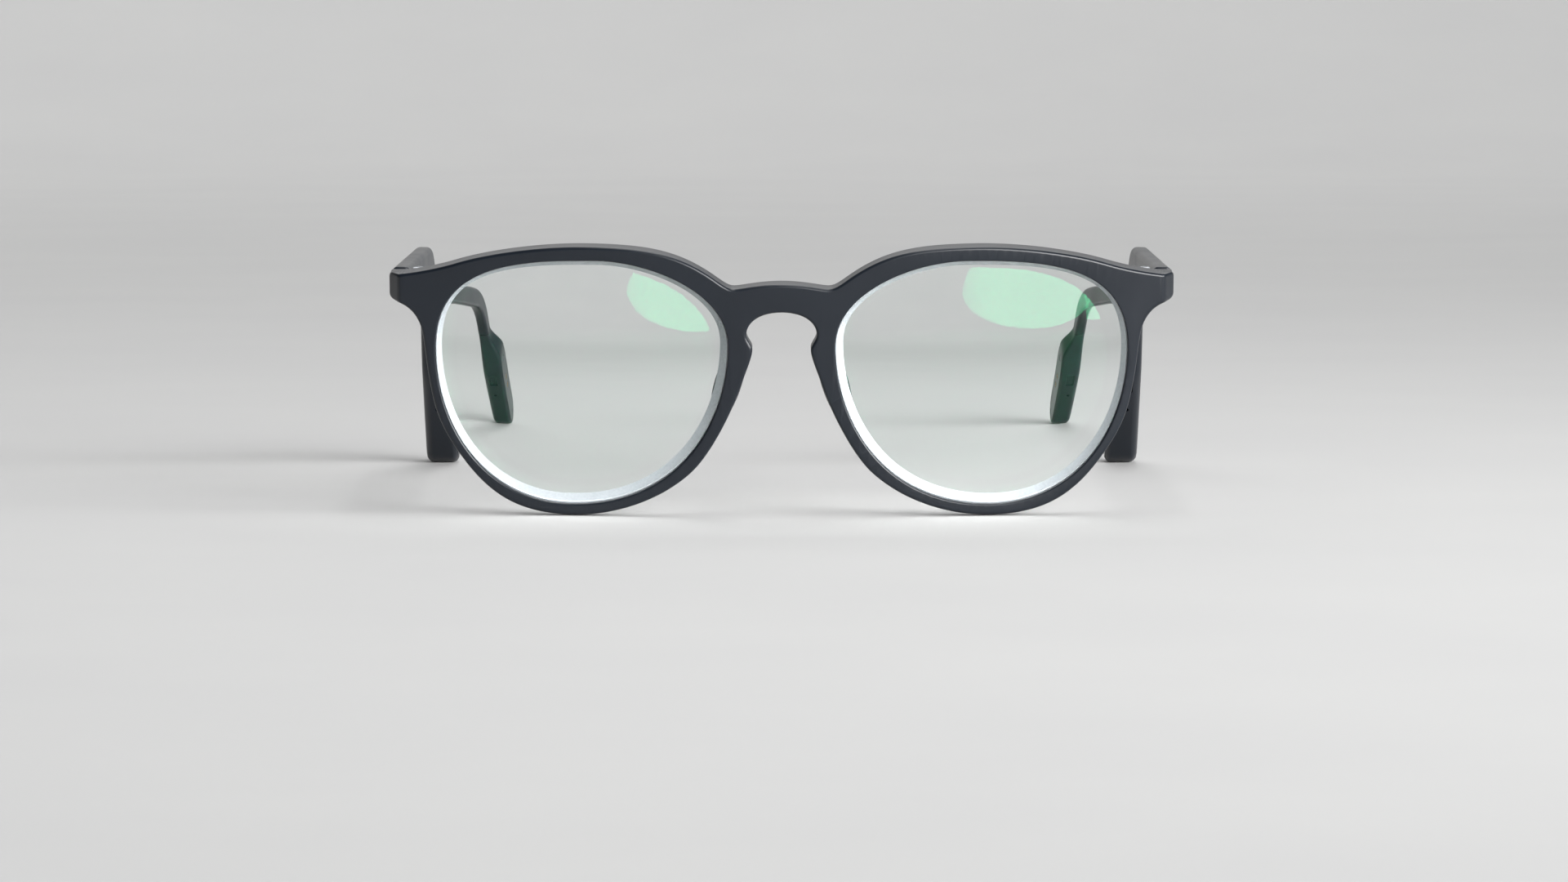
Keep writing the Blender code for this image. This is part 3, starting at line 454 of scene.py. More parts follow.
def ground_edge():
    """The lens's edge, ground with a diamond wheel: white and frosted, with fine grinding marks."""
    finish, tree, shader, place = new_finish("ground_lens_edge")
    marks = add_node(tree, "ShaderNodeTexNoise", {"Vector": place, "Scale": 2500.0, "Detail": 2.0})
    bump = add_node(
        tree, "ShaderNodeBump", {"Height": marks.outputs["Fac"], "Strength": 0.3, "Distance": 0.00003}
    )
    shade = add_node(
        tree, "ShaderNodeMix", {0: marks.outputs["Fac"], 6: linear("858c94"), 7: linear("a9afb5")},
        data_type="RGBA"
    )
    tree.links.new(shade.outputs[2], shader.inputs["Base Color"])
    tree.links.new(bump.outputs["Normal"], shader.inputs["Normal"])
    shader.inputs["Roughness"].default_value = 0.45
    shader.inputs["IOR"].default_value = 1.6
    shader.inputs["Transmission Weight"].default_value = 0.5
    return finish


front_coating = coated_lens("coated_lens_front", 0.12)
back_coating = coated_lens("coated_lens_back", 0.42)
frosted_edge = ground_edge()
LENS_RINGS = (0.02, 0.08, 0.16, 0.25, 0.34, 0.43, 0.52, 0.61, 0.7, 0.78, 0.86, 0.93, 0.98, 1.0)


def lens_depth(x, z, radius):
    """Depth of a round lens surface behind its pole, less the round part of the front's own wrap."""
    across = x - LENS_CENTRE_X
    return radius - math.sqrt(radius ** 2 - across ** 2 - z ** 2) - across ** 2 * 0.5 / WRAP_RADIUS


def lens_loop(points, share, pole, radius):
    """One ring of a lens surface: the rim's loop, drawn in towards the lens's centre."""
    ring = []
    for point in points:
        x = LENS_CENTRE_X + (point.x - LENS_CENTRE_X) * share
        z = point.y * share
        ring.append((x, pole + lens_depth(x, z, radius), z))
    return ring


lens_rim = offset_loop(lens_outline, -LENS_GAP)
lens_bevel = offset_loop(lens_rim, BEVEL_REACH)
for side, mirrored in SIDES:
    sections = [lens_loop(lens_rim, share, LENS_SETBACK, LENS_FRONT_RADIUS) for share in LENS_RINGS]
    sections.append([(point.x, GROOVE_Y - BEVEL_HALF_WIDTH, point.y) for point in lens_rim])
    sections.append([(point.x, GROOVE_Y, point.y) for point in lens_bevel])
    sections.append([(point.x, GROOVE_Y + BEVEL_HALF_WIDTH, point.y) for point in lens_rim])
    back_pole = LENS_SETBACK + LENS_THICKNESS
    rolled = lens_loop(lens_rim, 1.0, back_pole, LENS_BACK_RADIUS)
    sections.append([(x, y - SAFETY_BEVEL, z) for x, y, z in rolled])
    sections.append(lens_loop(offset_loop(lens_rim, -SAFETY_BEVEL), 1.0, back_pole, LENS_BACK_RADIUS))
    for share in reversed(LENS_RINGS[:-2]):
        sections.append(lens_loop(lens_rim, share, back_pole, LENS_BACK_RADIUS))
    lens = lofted(sections)
    lens.normal_update()
    for face in lens.faces:
        x, y, z = face.calc_center_median()
        above = y - LENS_SETBACK - lens_depth(x, z, LENS_FRONT_RADIUS)
        below = back_pole + lens_depth(x, z, LENS_BACK_RADIUS) - y
        if abs(above) < ON_SURFACE and face.normal.y < -FACING:
            face.material_index = 0
        elif abs(below) <= ON_SURFACE and face.normal.y >= FACING:
            face.material_index = 1
        else:
            face.material_index = 2
    for vert in lens.verts:
        vert.co.y += sag(vert.co.x)
    ground_lens = make_piece(
        f"ground_lens_{side}", placed(lens, FRONT), "front", [front_coating, back_coating, frosted_edge],
        mirrored, sharp=22
    )
    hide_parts(f"lens_{side}")


# -------------------------------------------------- nose pads
# Two pads moulded from the same nylon, set on the backs of the nasal rims and splayed to rest on the nose.
# They are lacquered with the front, so they share its finish.

PAD_LEAN = math.radians(16)
PAD_STEPS = 24
PAD_SECTIONS = (
    # depth, x, z, half the length, half the width
    (3.7, 8.25, -0.4, 6.7, 1.25),
    (4.6, 8.3, -0.4, 7.2, 1.6),
    (5.8, 8.5, -0.5, 7.2, 1.75),
    (7.0, 8.95, -0.8, 6.8, 1.7),
    (8.2, 9.55, -1.1, 6.0, 1.5),
    (9.0, 10.0, -1.4, 5.0, 1.2),
    (9.45, 10.25, -1.5, 3.9, 0.8),
)
for side, mirrored in SIDES:
    sections = []
    for depth, x, z, half_length, half_width in PAD_SECTIONS:
        loop = []
        for step in range(PAD_STEPS):
            turn = -math.tau * step / PAD_STEPS
            across, up = half_width * math.cos(turn), half_length * math.sin(turn)
            loop.append((
                x + across * math.cos(PAD_LEAN) - up * math.sin(PAD_LEAN),
                depth + sag(x),
                z + across * math.sin(PAD_LEAN) + up * math.cos(PAD_LEAN),
            ))
        sections.append(loop)
    pad = make_piece(
        f"moulded_nose_pad_{side}", placed(lofted(sections), FRONT), "front", [slate_nylon], mirrored,
        sharp=80
    )
    rounding = pad.modifiers.new("soft_form", "SUBSURF")
    rounding.levels = rounding.render_levels = 2
    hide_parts(f"nose_pad_{side}")


# -------------------------------------------------- hinges
# Three-knuckle hinges of stamped stainless steel. One leaf is riveted into the end piece and the other is
# sunk in the arm; a slotted screw down the knuckles is the pin. Tumbling has rounded their edges.

KNUCKLE_RADIUS = 1.3
KNUCKLE_BORE = 0.62
KNUCKLE_HEIGHT = 1.0
KNUCKLE_PITCH = 1.25
BORE_REACH = 4
RIVET_X = 61.9
# Half profiles from the bottom centre to the top centre: (radius, height)
RIVET_PROFILE = [
    (0, -1.9), (0.45, -1.9), (0.45, 0.05), (1.05, 0.05), (1.1, 0.12), (1.05, 0.3), (0.85, 0.5), (0.5, 0.64),
    (0, 0.7),
]
PIN_PROFILE = [
    (0, -1.95), (0.35, -1.95), (0.5, -1.8), (0.5, 2.0), (1.0, 2.0), (1.05, 2.06), (1.05, 2.28), (1.0, 2.38),
    (0.85, 2.46), (0.5, 2.51), (0, 2.52),
]
PIN_SLOT = ((-1.5, -0.14, 2.22), (1.5, 0.14, 3.0))


def bare_metal(name, roughness, stroke_scale, dark="8d9196", light="b4b8bd"):
    """Bare or plated metal, stainless steel unless its colours say another: fine strokes left by tumbling,
    rolling or drawing, drawn at 0.1 mm to show."""
    finish, tree, shader, place = new_finish(name)
    stretched = add_node(tree, "ShaderNodeMapping", {"Vector": place, "Scale": stroke_scale})
    strokes = add_node(
        tree, "ShaderNodeTexNoise", {"Vector": stretched.outputs["Vector"], "Scale": 9000.0, "Detail": 3.0}
    )
    shade = add_node(
        tree, "ShaderNodeMix", {0: strokes.outputs["Fac"], 6: linear(dark), 7: linear(light)},
        data_type="RGBA"
    )
    rough = add_node(
        tree, "ShaderNodeMapRange",
        {"Value": strokes.outputs["Fac"], "From Min": 0.3, "From Max": 0.7, "To Min": roughness - 0.05,
         "To Max": roughness + 0.08}
    )
    bump = add_node(
        tree, "ShaderNodeBump", {"Height": strokes.outputs["Fac"], "Strength": 0.15, "Distance": 0.00002}
    )
    tree.links.new(shade.outputs[2], shader.inputs["Base Color"])
    tree.links.new(rough.outputs["Result"], shader.inputs["Roughness"])
    tree.links.new(bump.outputs["Normal"], shader.inputs["Normal"])
    shader.inputs["Metallic"].default_value = 1.0
    return finish


def turned(profile, place, steps=32):
    """A solid of revolution: (radius, height) points from bottom centre to top centre, spun round Z."""
    bm = bmesh.new()
    verts = [bm.verts.new((radius, 0, height)) for radius, height in profile]
    edges = [bm.edges.new(pair) for pair in zip(verts, verts[1:])]
    bmesh.ops.spin(
        bm, geom=verts + edges, axis=(0, 0, 1), cent=(0, 0, 0), steps=steps, angle=math.tau, use_merge=True,
        use_duplicate=False
    )
    bmesh.ops.remove_doubles(bm, verts=bm.verts, dist=0.0005)
    bmesh.ops.recalc_face_normals(bm, faces=bm.faces)
    return placed(bm, place)


def disc_profile(radius, low, high, round_off):
    """Profile of a round disc or shaft with rounded rims."""
    profile = [(0.0, low)]
    profile += [(radius - inside, low + depth) for depth, inside in quarter(round_off, 3)]
    profile += [(radius - inside, high - depth) for depth, inside in reversed(quarter(round_off, 3))]
    return profile + [(0.0, high)]


def barrel(z):
    """One knuckle, centred so far above the hinge's middle."""
    half_height = KNUCKLE_HEIGHT / 2
    place = FRONT @ Matrix.Translation(HINGE_IN_FRONT + Vector((0, 0, z)))
    return turned(disc_profile(KNUCKLE_RADIUS, -half_height, half_height, 0.12), place, 40)


def rod(radius, low, high, place, steps=32):
    """A plain round bar, to cut a hole with."""
    return turned([(0, low), (radius, low), (radius, high), (0, high)], place, steps)


def bore():
    """The cutter of the pin's hole through the knuckles."""
    return rod(KNUCKLE_BORE, -BORE_REACH, BORE_REACH, FRONT @ Matrix.Translation(HINGE_IN_FRONT))


tumbled_steel = bare_metal("tumbled_stainless_steel", 0.3, (1.0, 1.0, 0.15))
leaf_inner_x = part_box("temple_hinge_left")[1].x / MM - 0.85
HX, HY, HZ = HINGE_IN_FRONT
for side, mirrored in SIDES:
    leaf = placed(rounded_block((60.65, SEAT_Y - 0.8, HZ - 1.55), (64.85, SEAT_Y, HZ + 1.55), 0.18), FRONT)
    joined = []
    for z in (-KNUCKLE_PITCH, KNUCKLE_PITCH):
        low = HZ + z - 0.42
        neck = rounded_block((HX - 0.9, SEAT_Y - 0.4, low), (HX + 0.8, HY - 0.3, low + 0.74), 0.08, 2)
        joined += [placed(neck, FRONT), barrel(z)]
    rivet_place = FRONT @ Matrix.Translation((RIVET_X, SEAT_Y, HZ)) @ Matrix.Rotation(-math.pi / 2, 4, "X")
    rivet_hole = rod(0.6, -2, 1, rivet_place, 24)
    leaf = combined(combined(leaf, joined, "UNION"), [bore(), rivet_hole])
    front_leaf = make_piece(f"riveted_hinge_leaf_{side}", leaf, "front", [tumbled_steel], mirrored)
    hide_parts(f"front_hinge_{side}")

    rivet = make_piece(
        f"domed_rivet_{side}", turned(RIVET_PROFILE, rivet_place, 36), "front", [tumbled_steel], mirrored
    )
    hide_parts(f"hinge_rivet_{side}")

    screw_place = FRONT @ Matrix.Translation(HINGE_IN_FRONT)
    slot = placed(rounded_block(*PIN_SLOT, 0.0), screw_place @ Matrix.Rotation(0.5, 4, "Z"))
    screw = combined(turned(PIN_PROFILE, screw_place, 36), [slot])
    pin = make_piece(f"slotted_hinge_screw_{side}", screw, "front", [tumbled_steel], mirrored)
    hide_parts(f"hinge_screw_{side}")

    plate = rounded_block(
        (leaf_inner_x, HINGE.y + 0.75, HINGE.z - 1.45), (leaf_inner_x + 0.8, HINGE.y + 7.2, HINGE.z + 1.45),
        0.15
    )
    neck = rounded_block((HX - 0.2, HY + 0.3, HZ - 0.42), (HX + 1.95, HY + 1.25, HZ + 0.42), 0.08, 2)
    plate = combined(combined(plate, [placed(neck, FRONT), barrel(0.0)], "UNION"), [bore()])
    arm_leaf = make_piece(f"sunk_hinge_leaf_{side}", plate, f"temple_{side}", [tumbled_steel], mirrored)
    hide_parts(f"temple_hinge_{side}")


# -------------------------------------------------- temple arms
# Slim arms of the same lacquered nylon, moulded over a flat steel core wire that stiffens them and holds the
# ear bend. A tenon on each arm's end is glued into its pod. The hinge leaf lies in a pocket on the inside.

ARM_X = 67.0
ARM_THICKNESS = 3.2
ARM_HEIGHT = 5.0
STRAIGHT = 79.0
BEND_RADIUS = 28.0
BEND = math.radians(45)
POD_HALF_HEIGHT = 6.0
POD_ROUND_U = 37.0
FIT_GAP = 0.12
TENON_LENGTH = 4.4
TAIL_TO_TIP = (HINGE.z - BEND_RADIUS * (1 - math.cos(BEND)) - POD_HALF_HEIGHT) / math.sin(BEND)
POD_START = STRAIGHT + BEND_RADIUS * BEND + TAIL_TO_TIP - POD_ROUND_U


def on_temple(along, x, rise):
    """A point by the temple's centre line: so far along it from the hinge, at x, and so far above it."""
    turn = min(max((along - STRAIGHT) / BEND_RADIUS, 0.0), BEND)
    tail = max(along - STRAIGHT - BEND_RADIUS * BEND, 0.0)
    y = min(along, STRAIGHT) + BEND_RADIUS * math.sin(turn) + tail * math.cos(turn)
    z = -BEND_RADIUS * (1 - math.cos(turn)) - tail * math.sin(turn)
    return Vector((x, HINGE.y + y + rise * math.sin(turn), HINGE.z + z + rise * math.cos(turn)))


def rounded_rectangle(half_x, half_v, radius, steps=6):
    """Loop of (x, v) points round a rectangle with round corners."""
    loop = []
    for corner_x, corner_v, start in ((1, 1, 0), (-1, 1, 90), (-1, -1, 180), (1, -1, 270)):
        for step in range(steps + 1):
            turn = math.radians(start + 90 * step / steps)
            loop.append((
                corner_x * (half_x - radius) + radius * math.cos(turn),
                corner_v * (half_v - radius) + radius * math.sin(turn),
            ))
    return loop


def arm_section(along, inside, radius, lean=0.0):
    """The arm's section square to its line, or leaned to lie against the front."""
    loop = []
    for x, v in rounded_rectangle(ARM_THICKNESS / 2 - inside, ARM_HEIGHT / 2 - inside, radius):
        point = on_temple(along, ARM_X + x, v)
        point.y -= v * lean
        loop.append(point)
    return loop


LEAN_SLOPE = -fold["axis"][1] / fold["axis"][2]
for side, mirrored in SIDES:
    sections = [
        arm_section(0.15 + depth, inside, 1.0 - inside, LEAN_SLOPE) for depth, inside in quarter(0.3, 3)
    ]
    shoulder = POD_START - FIT_GAP
    stations = [2.0 + 3.5 * index for index in range(22)]
    stations += [STRAIGHT + BEND_RADIUS * BEND * step / 24 for step in range(25)]
    stations.append(shoulder - 0.2)
    sections += [arm_section(along, 0.0, 1.0, LEAN_SLOPE * max(0.0, 1 - along / 8)) for along in stations]
    sections += [
        arm_section(shoulder - depth, inside, 1.0 - inside) for depth, inside in reversed(quarter(0.15, 2))
    ]
    tenon = rounded_rectangle(1.0, 1.9, 0.4)
    for along in (shoulder, shoulder + TENON_LENGTH):
        sections.append([on_temple(along, ARM_X + x, v) for x, v in tenon])
    leaf_pocket = rounded_block(
        (leaf_inner_x - 1, HINGE.y - 1.5, HINGE.z - 1.6),
        (leaf_inner_x + 0.95, HINGE.y + 7.35, HINGE.z + 1.6), 0.0
    )
    arm = combined(lofted(sections), [leaf_pocket])
    temple_arm = make_piece(f"lacquered_arm_{side}", arm, f"temple_{side}", [slate_nylon], mirrored)
    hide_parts(f"temple_arm_{side}")


# -------------------------------------------------- pod casings
# Each temple ends in a pod of the same nylon: a deep outer shell and a flat inner cover, screwed together
# over a rubber seal. The shell has the button, the status light and the speaker in its edges.

POD_OUTER_X = 68.6
POD_INNER_X = 62.4
POD_FLARE_U = 16.0
POD_STEP_U = 9.5
COVER_THICKNESS = 0.9
LEDGE_X = POD_INNER_X + COVER_THICKNESS + 0.9
CAVITY_X = POD_OUTER_X - 0.9
SCREWS_U = (12.1, 39.7)
CONTACTS_U = (21.0, 25.0)
BUTTON_U = 24.0
EDGE_PIECES_X = 65.8
LIGHT_U = 19.6
MESH_U = (14.6, 19.0)
NECK_CORNER = 0.15
OUTLINE_STEP = 0.8
SCREW_PROFILE = [
    (0, -3.3), (0.4, -3.3), (0.45, -3.1), (0.45, -0.42), (0.93, -0.4), (0.98, -0.34), (0.98, -0.2),
    (0.9, -0.1), (0, -0.07),
]
POD = Matrix.Translation(on_temple(POD_START, 0.0, 0.0)) @ Matrix.Rotation(-BEND, 4, "X")


def smooth_share(value):
    """From 0 to 1 with soft ends."""
    share = min(max(value, 0.0), 1.0)
    return share * share * (3 - 2 * share)


def pod_half_height(u):
    """Half the pod's height: it flares from the arm's and then runs straight to the round end."""
    return ARM_HEIGHT / 2 + (POD_HALF_HEIGHT - ARM_HEIGHT / 2) * smooth_share(u / POD_FLARE_U)


def pod_outline(start, inside, corner_radius):
    """Clockwise (u, v) loop of the pod's edge, so far inside it, from the start round the tip."""
    radius = POD_HALF_HEIGHT - inside
    count = max(4, round((POD_ROUND_U - start) / OUTLINE_STEP))
    upper = []
    first = start + corner_radius
    for step in range(5):
        turn = math.radians(180 - 90 * step / 4)
        upper.append((
            first + corner_radius * math.cos(turn),
            pod_half_height(first) - inside - corner_radius + corner_radius * math.sin(turn),
        ))
    for step in range(1, count):
        u = first + (POD_ROUND_U - first) * step / count
        upper.append((u, pod_half_height(u) - inside))
    for step in range(19):
        turn = math.radians(90 - 90 * step / 18)
        upper.append((POD_ROUND_U + radius * math.cos(turn), radius * math.sin(turn)))
    upper[-1] = (POD_ROUND_U + radius, 0.0)
    lower = [(u, -v) for u, v in reversed(upper[:-1])]
    return [Vector(point) for point in upper + lower]


def pod_solid(start, inside, corner_radius, x_low, x_high, round_low=0.0, round_high=0.0):
    """A solid of the pod's outline between two depths across the face, with its rims rounded."""
    low_rim = quarter(round_low) if round_low else [(0.0, 0.0)]
    high_rim = quarter(round_high) if round_high else [(0.0, 0.0)]
    levels = [(x_low + depth, inside + rim) for depth, rim in low_rim]
    levels += [(x_high - depth, inside + rim) for depth, rim in reversed(high_rim)]
    return lofted([
        [(x, point.x, point.y) for point in pod_outline(start, rim, corner_radius)] for x, rim in levels
    ])


def drilled(radius, x_low, x_high, u):
    """A round cutter across the pod."""
    return rod(radius, x_low, x_high, Matrix.Translation((0, u, 0)) @ Matrix.Rotation(math.pi / 2, 4, "Y"))


def upright(radius, low, high, x, u):
    """A round cutter through the pod's edge."""
    return rod(radius, low, high, Matrix.Translation((x, u, 0)))


def edge_block(u, half_x, half_u, low, high, radius=0.0, segments=3):
    """A block in the pod's upper edge, centred at u, from one height to another."""
    near, far = (EDGE_PIECES_X - half_x, u - half_u, low), (EDGE_PIECES_X + half_x, u + half_u, high)
    return rounded_block(near, far, radius, segments)


neck_outline = pod_outline(0.0, 0.0, NECK_CORNER)
neck_end = POD_STEP_U + OUTLINE_STEP
neck_stations = [point.x for point in neck_outline if point.y > 0 and NECK_CORNER < point.x < neck_end]
for side, mirrored in SIDES:
    body = pod_solid(0.0, 0.0, NECK_CORNER, POD_INNER_X, POD_OUTER_X, 1.2, 1.5)
    for u in neck_stations:
        cut_across(body, (0, u, 0), (0, 1, 0))
    arm_inner = ARM_X - ARM_THICKNESS / 2
    for vert in body.verts:
        inner = arm_inner + (POD_INNER_X - arm_inner) * smooth_share(vert.co.y / POD_STEP_U)
        depth = (POD_OUTER_X - vert.co.x) / (POD_OUTER_X - POD_INNER_X)
        vert.co.x = POD_OUTER_X - (POD_OUTER_X - inner) * depth
    cutters = [
        pod_solid(10.5, 0.6, 1.4, POD_INNER_X - 1, LEDGE_X),
        pod_solid(13.4, 1.6, 1.0, POD_INNER_X - 0.8, CAVITY_X),
        rounded_block((ARM_X - 1.1, -1.0, -2.0), (ARM_X + 1.1, 4.6, 2.0), 0.0),
        edge_block(BUTTON_U, 1.05, 2.55, 3, 8, 0.9, 4),
        upright(0.72, 3, 8, EDGE_PIECES_X, LIGHT_U),
        rounded_block((64.9, MESH_U[0] + 0.6, -8), (66.7, MESH_U[1] - 0.6, -3), 0.0),
        rounded_block((64.55, MESH_U[0] - 0.12, -8), (67.05, MESH_U[1] + 0.12, -5.2), 0.5, 3),
        upright(0.45, -8, -3.5, 66.0, BUTTON_U),
    ]
    cutters += [drilled(0.6, LEDGE_X - 1, LEDGE_X + 2.2, u) for u in SCREWS_U]
    shell = combined(body, cutters)
    pod_shell = make_piece(
        f"pod_outer_shell_{side}", placed(shell, POD), f"temple_{side}", [slate_nylon], mirrored, sharp=35
    )
    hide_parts(f"pod_shell_{side}")

    cover = pod_solid(10.75, 0.75, 1.3, POD_INNER_X, POD_INNER_X + COVER_THICKNESS, 0.25, 0.1)
    holes = [drilled(1.12, POD_INNER_X - 1, POD_INNER_X + 2, u) for u in CONTACTS_U]
    for u in SCREWS_U:
        holes.append(drilled(0.6, POD_INNER_X - 1, POD_INNER_X + 2, u))
        holes.append(drilled(1.1, POD_INNER_X - 1, POD_INNER_X + 0.45, u))
    inner_cover = make_piece(
        f"pod_inner_cover_{side}", placed(combined(cover, holes), POD), f"temple_{side}", [slate_nylon],
        mirrored, sharp=35
    )
    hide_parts(f"pod_cover_{side}")

    for place_name, u in zip(("front", "rear"), SCREWS_U):
        stand = Matrix.Translation((POD_INNER_X, u, 0)) @ Matrix.Rotation(-math.pi / 2, 4, "Y")
        head = turned(SCREW_PROFILE, stand, 32)
        turn = Matrix.Translation((0, u, 0)) @ Matrix.Rotation(0.7 + u, 4, "X")
        # The bars of the cross differ a little, so that no faces of the two cutters fall together
        tall_bar = rounded_block((POD_INNER_X - 1, -0.12, -0.6), (POD_INNER_X + 0.36, 0.12, 0.6), 0.0)
        wide_bar = rounded_block((POD_INNER_X - 0.9, -0.59, -0.13), (POD_INNER_X + 0.34, 0.59, 0.13), 0.0)
        head = combined(head, [placed(tall_bar, turn), placed(wide_bar, turn)])
        screw = make_piece(
            f"cross_screw_{place_name}_{side}", placed(head, POD), f"temple_{side}", [tumbled_steel], mirrored
        )
        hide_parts(f"pod_screw_{place_name}_{side}")


# -------------------------------------------------- button
# A push button of hard black nylon in the pod's upper edge, kept in by a flange inside the wall. Its top is
# dished for the fingertip.

FLANGE = ((EDGE_PIECES_X - 1.5, BUTTON_U - 3.0, 3.75), (EDGE_PIECES_X + 1.1, BUTTON_U + 3.0, 4.15))
CAP_LOW = 4.0
CAP_TOP = 6.35
DISH_RADIUS = 9.0
DISH_BOTTOM = 6.2


def hard_plastic(name, dark, light, roughness, grain_mm):
    """Moulded plastic with a spark-eroded texture of the given grain."""
    finish, tree, shader, place = new_finish(name)
    grain = add_node(
        tree, "ShaderNodeTexNoise", {"Vector": place, "Scale": 1 / (grain_mm * MM), "Detail": 2.0}
    )
    shade = add_node(
        tree, "ShaderNodeMix", {0: grain.outputs["Fac"], 6: linear(dark), 7: linear(light)}, data_type="RGBA"
    )
    rough = add_node(
        tree, "ShaderNodeMapRange",
        {"Value": grain.outputs["Fac"], "From Min": 0.3, "From Max": 0.7, "To Min": roughness - 0.04,
         "To Max": roughness + 0.05}
    )
    bump = add_node(
        tree, "ShaderNodeBump", {"Height": grain.outputs["Fac"], "Strength": 0.25, "Distance": 0.00003}
    )
    tree.links.new(shade.outputs[2], shader.inputs["Base Color"])
    tree.links.new(rough.outputs["Result"], shader.inputs["Roughness"])
    tree.links.new(bump.outputs["Normal"], shader.inputs["Normal"])
    return finish


button_plastic = hard_plastic("moulded_black_nylon", "17191c", "212429", 0.5, 0.25)
for side, mirrored in SIDES:
    flange = rounded_block(*FLANGE, 0.1)
    cap = edge_block(BUTTON_U, 0.9, 2.4, CAP_LOW, CAP_TOP)
    upright_edges = [
        edge for edge in cap.edges if abs((edge.verts[0].co - edge.verts[1].co).normalized().z) > 0.9
    ]
    round_edges(cap, upright_edges, 0.8, 6)
    top_edges = [edge for edge in cap.edges if all(vert.co.z > CAP_TOP - 0.05 for vert in edge.verts)]
    round_edges(cap, top_edges, 0.22)
    dish = bmesh.new()
    bmesh.ops.create_uvsphere(
        dish, u_segments=48, v_segments=24, radius=DISH_RADIUS,
        matrix=Matrix.Translation((EDGE_PIECES_X, BUTTON_U, DISH_BOTTOM + DISH_RADIUS))
    )
    button = combined(combined(flange, [cap], "UNION"), [dish])
    push_button = make_piece(
        f"dished_push_button_{side}", placed(button, POD), f"button_{side}", [button_plastic], mirrored,
        sharp=35
    )
    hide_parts(f"button_{side}")


# -------------------------------------------------- speaker
# A flat speaker in a drawn steel can, and over its slot an etched stainless mesh glued into a shallow seat in
# the pod's lower edge. The mesh is a grid of ribs with small, nearly square holes.

MESH_CELLS = (4, 8)
MESH_WIDTH = 2.3
MESH_FACE = -5.45
MESH_HALF_RIB = 0.17
MESH_THICKNESS = 0.25


def refinish(node, finish):
    """Gives a CAD node its material and leaves its shape."""
    materials = frame["nodes"][node].data.materials
    materials.clear()
    materials.append(finish)


etched_steel = bare_metal("etched_stainless_mesh", 0.36, (1.0, 1.0, 1.0), "3c4045", "565b61")
can_steel = bare_metal("drawn_steel_can", 0.28, (1.0, 0.2, 1.0))
for side, mirrored in SIDES:
    mesh_middle = Matrix.Translation((EDGE_PIECES_X, (MESH_U[0] + MESH_U[1]) / 2, MESH_FACE))
    mesh_size = Matrix.Diagonal((MESH_WIDTH, MESH_U[1] - MESH_U[0], 1, 1))
    plate = bmesh.new()
    bmesh.ops.create_grid(
        plate, x_segments=MESH_CELLS[0], y_segments=MESH_CELLS[1], size=0.5, matrix=mesh_middle @ mesh_size
    )
    ribs = set(bmesh.ops.inset_individual(plate, faces=plate.faces[:], thickness=MESH_HALF_RIB)["faces"])
    bmesh.ops.delete(plate, geom=[face for face in plate.faces if face not in ribs], context="FACES")
    bmesh.ops.solidify(plate, geom=plate.faces[:], thickness=MESH_THICKNESS)
    bmesh.ops.recalc_face_normals(plate, faces=plate.faces)
    mesh_plate = make_piece(
        f"etched_speaker_mesh_{side}", placed(plate, POD), f"temple_{side}", [etched_steel], mirrored,
        sharp=30
    )
    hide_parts(f"speaker_mesh_{side}")
    refinish(f"speaker_{side}", can_steel)


# -------------------------------------------------- light and contacts
# A clear acrylic pipe carries the status light to the pod's edge. Two gold-plated pads in the cover meet the
# dock's spring pins, and a nickel-plated magnet behind the cover pulls the pod onto them.

PIPE_PROFILE = [(0, 3.6), (0.6, 3.6), (0.6, 5.85), (0.55, 5.98), (0.4, 6.08), (0.2, 6.13), (0, 6.14)]
CONTACT_PROFILE = [
    (0, -1.5), (0.95, -1.5), (1.0, -1.42), (1.0, -0.16), (0.93, -0.06), (0.75, -0.03), (0.6, -0.1),
    (0, -0.13),
]


def clear_acrylic():
    """Polished acrylic, faintly milky where the light scatters."""
    finish, tree, shader, place = new_finish("clear_acrylic")
    milk = add_node(tree, "ShaderNodeTexNoise", {"Vector": place, "Scale": 1500.0})
    rough = add_node(
        tree, "ShaderNodeMapRange",
        {"Value": milk.outputs["Fac"], "From Min": 0.3, "From Max": 0.7, "To Min": 0.05, "To Max": 0.18}
    )
    tree.links.new(rough.outputs["Result"], shader.inputs["Roughness"])
    shader.inputs["Base Color"].default_value = linear("e4ebf0")
    shader.inputs["IOR"].default_value = 1.49
    shader.inputs["Transmission Weight"].default_value = 0.7
    return finish


acrylic = clear_acrylic()
gold_plate = bare_metal("gold_plate_on_nickel", 0.2, (1.0, 1.0, 1.0), "b98a3a", "d3a552")
nickel_plate = bare_metal("nickel_plated_magnet", 0.22, (1.0, 1.0, 1.0), "b2afa8", "cfccc4")
for side, mirrored in SIDES:
    stand = POD @ Matrix.Translation((EDGE_PIECES_X, LIGHT_U, 0))
    pipe = make_piece(
        f"domed_light_pipe_{side}", turned(PIPE_PROFILE, stand, 32), f"temple_{side}", [acrylic], mirrored
    )
    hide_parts(f"light_pipe_{side}")
    for number, u in enumerate(CONTACTS_U, 1):
        stand = POD @ Matrix.Translation((POD_INNER_X, u, 0)) @ Matrix.Rotation(-math.pi / 2, 4, "Y")
        contact = make_piece(
            f"plated_contact_{number}_{side}", turned(CONTACT_PROFILE, stand, 40), f"temple_{side}",
            [gold_plate], mirrored
        )
        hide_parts(f"charge_contact_{number}_{side}")
    refinish(f"dock_magnet_{side}", nickel_plate)


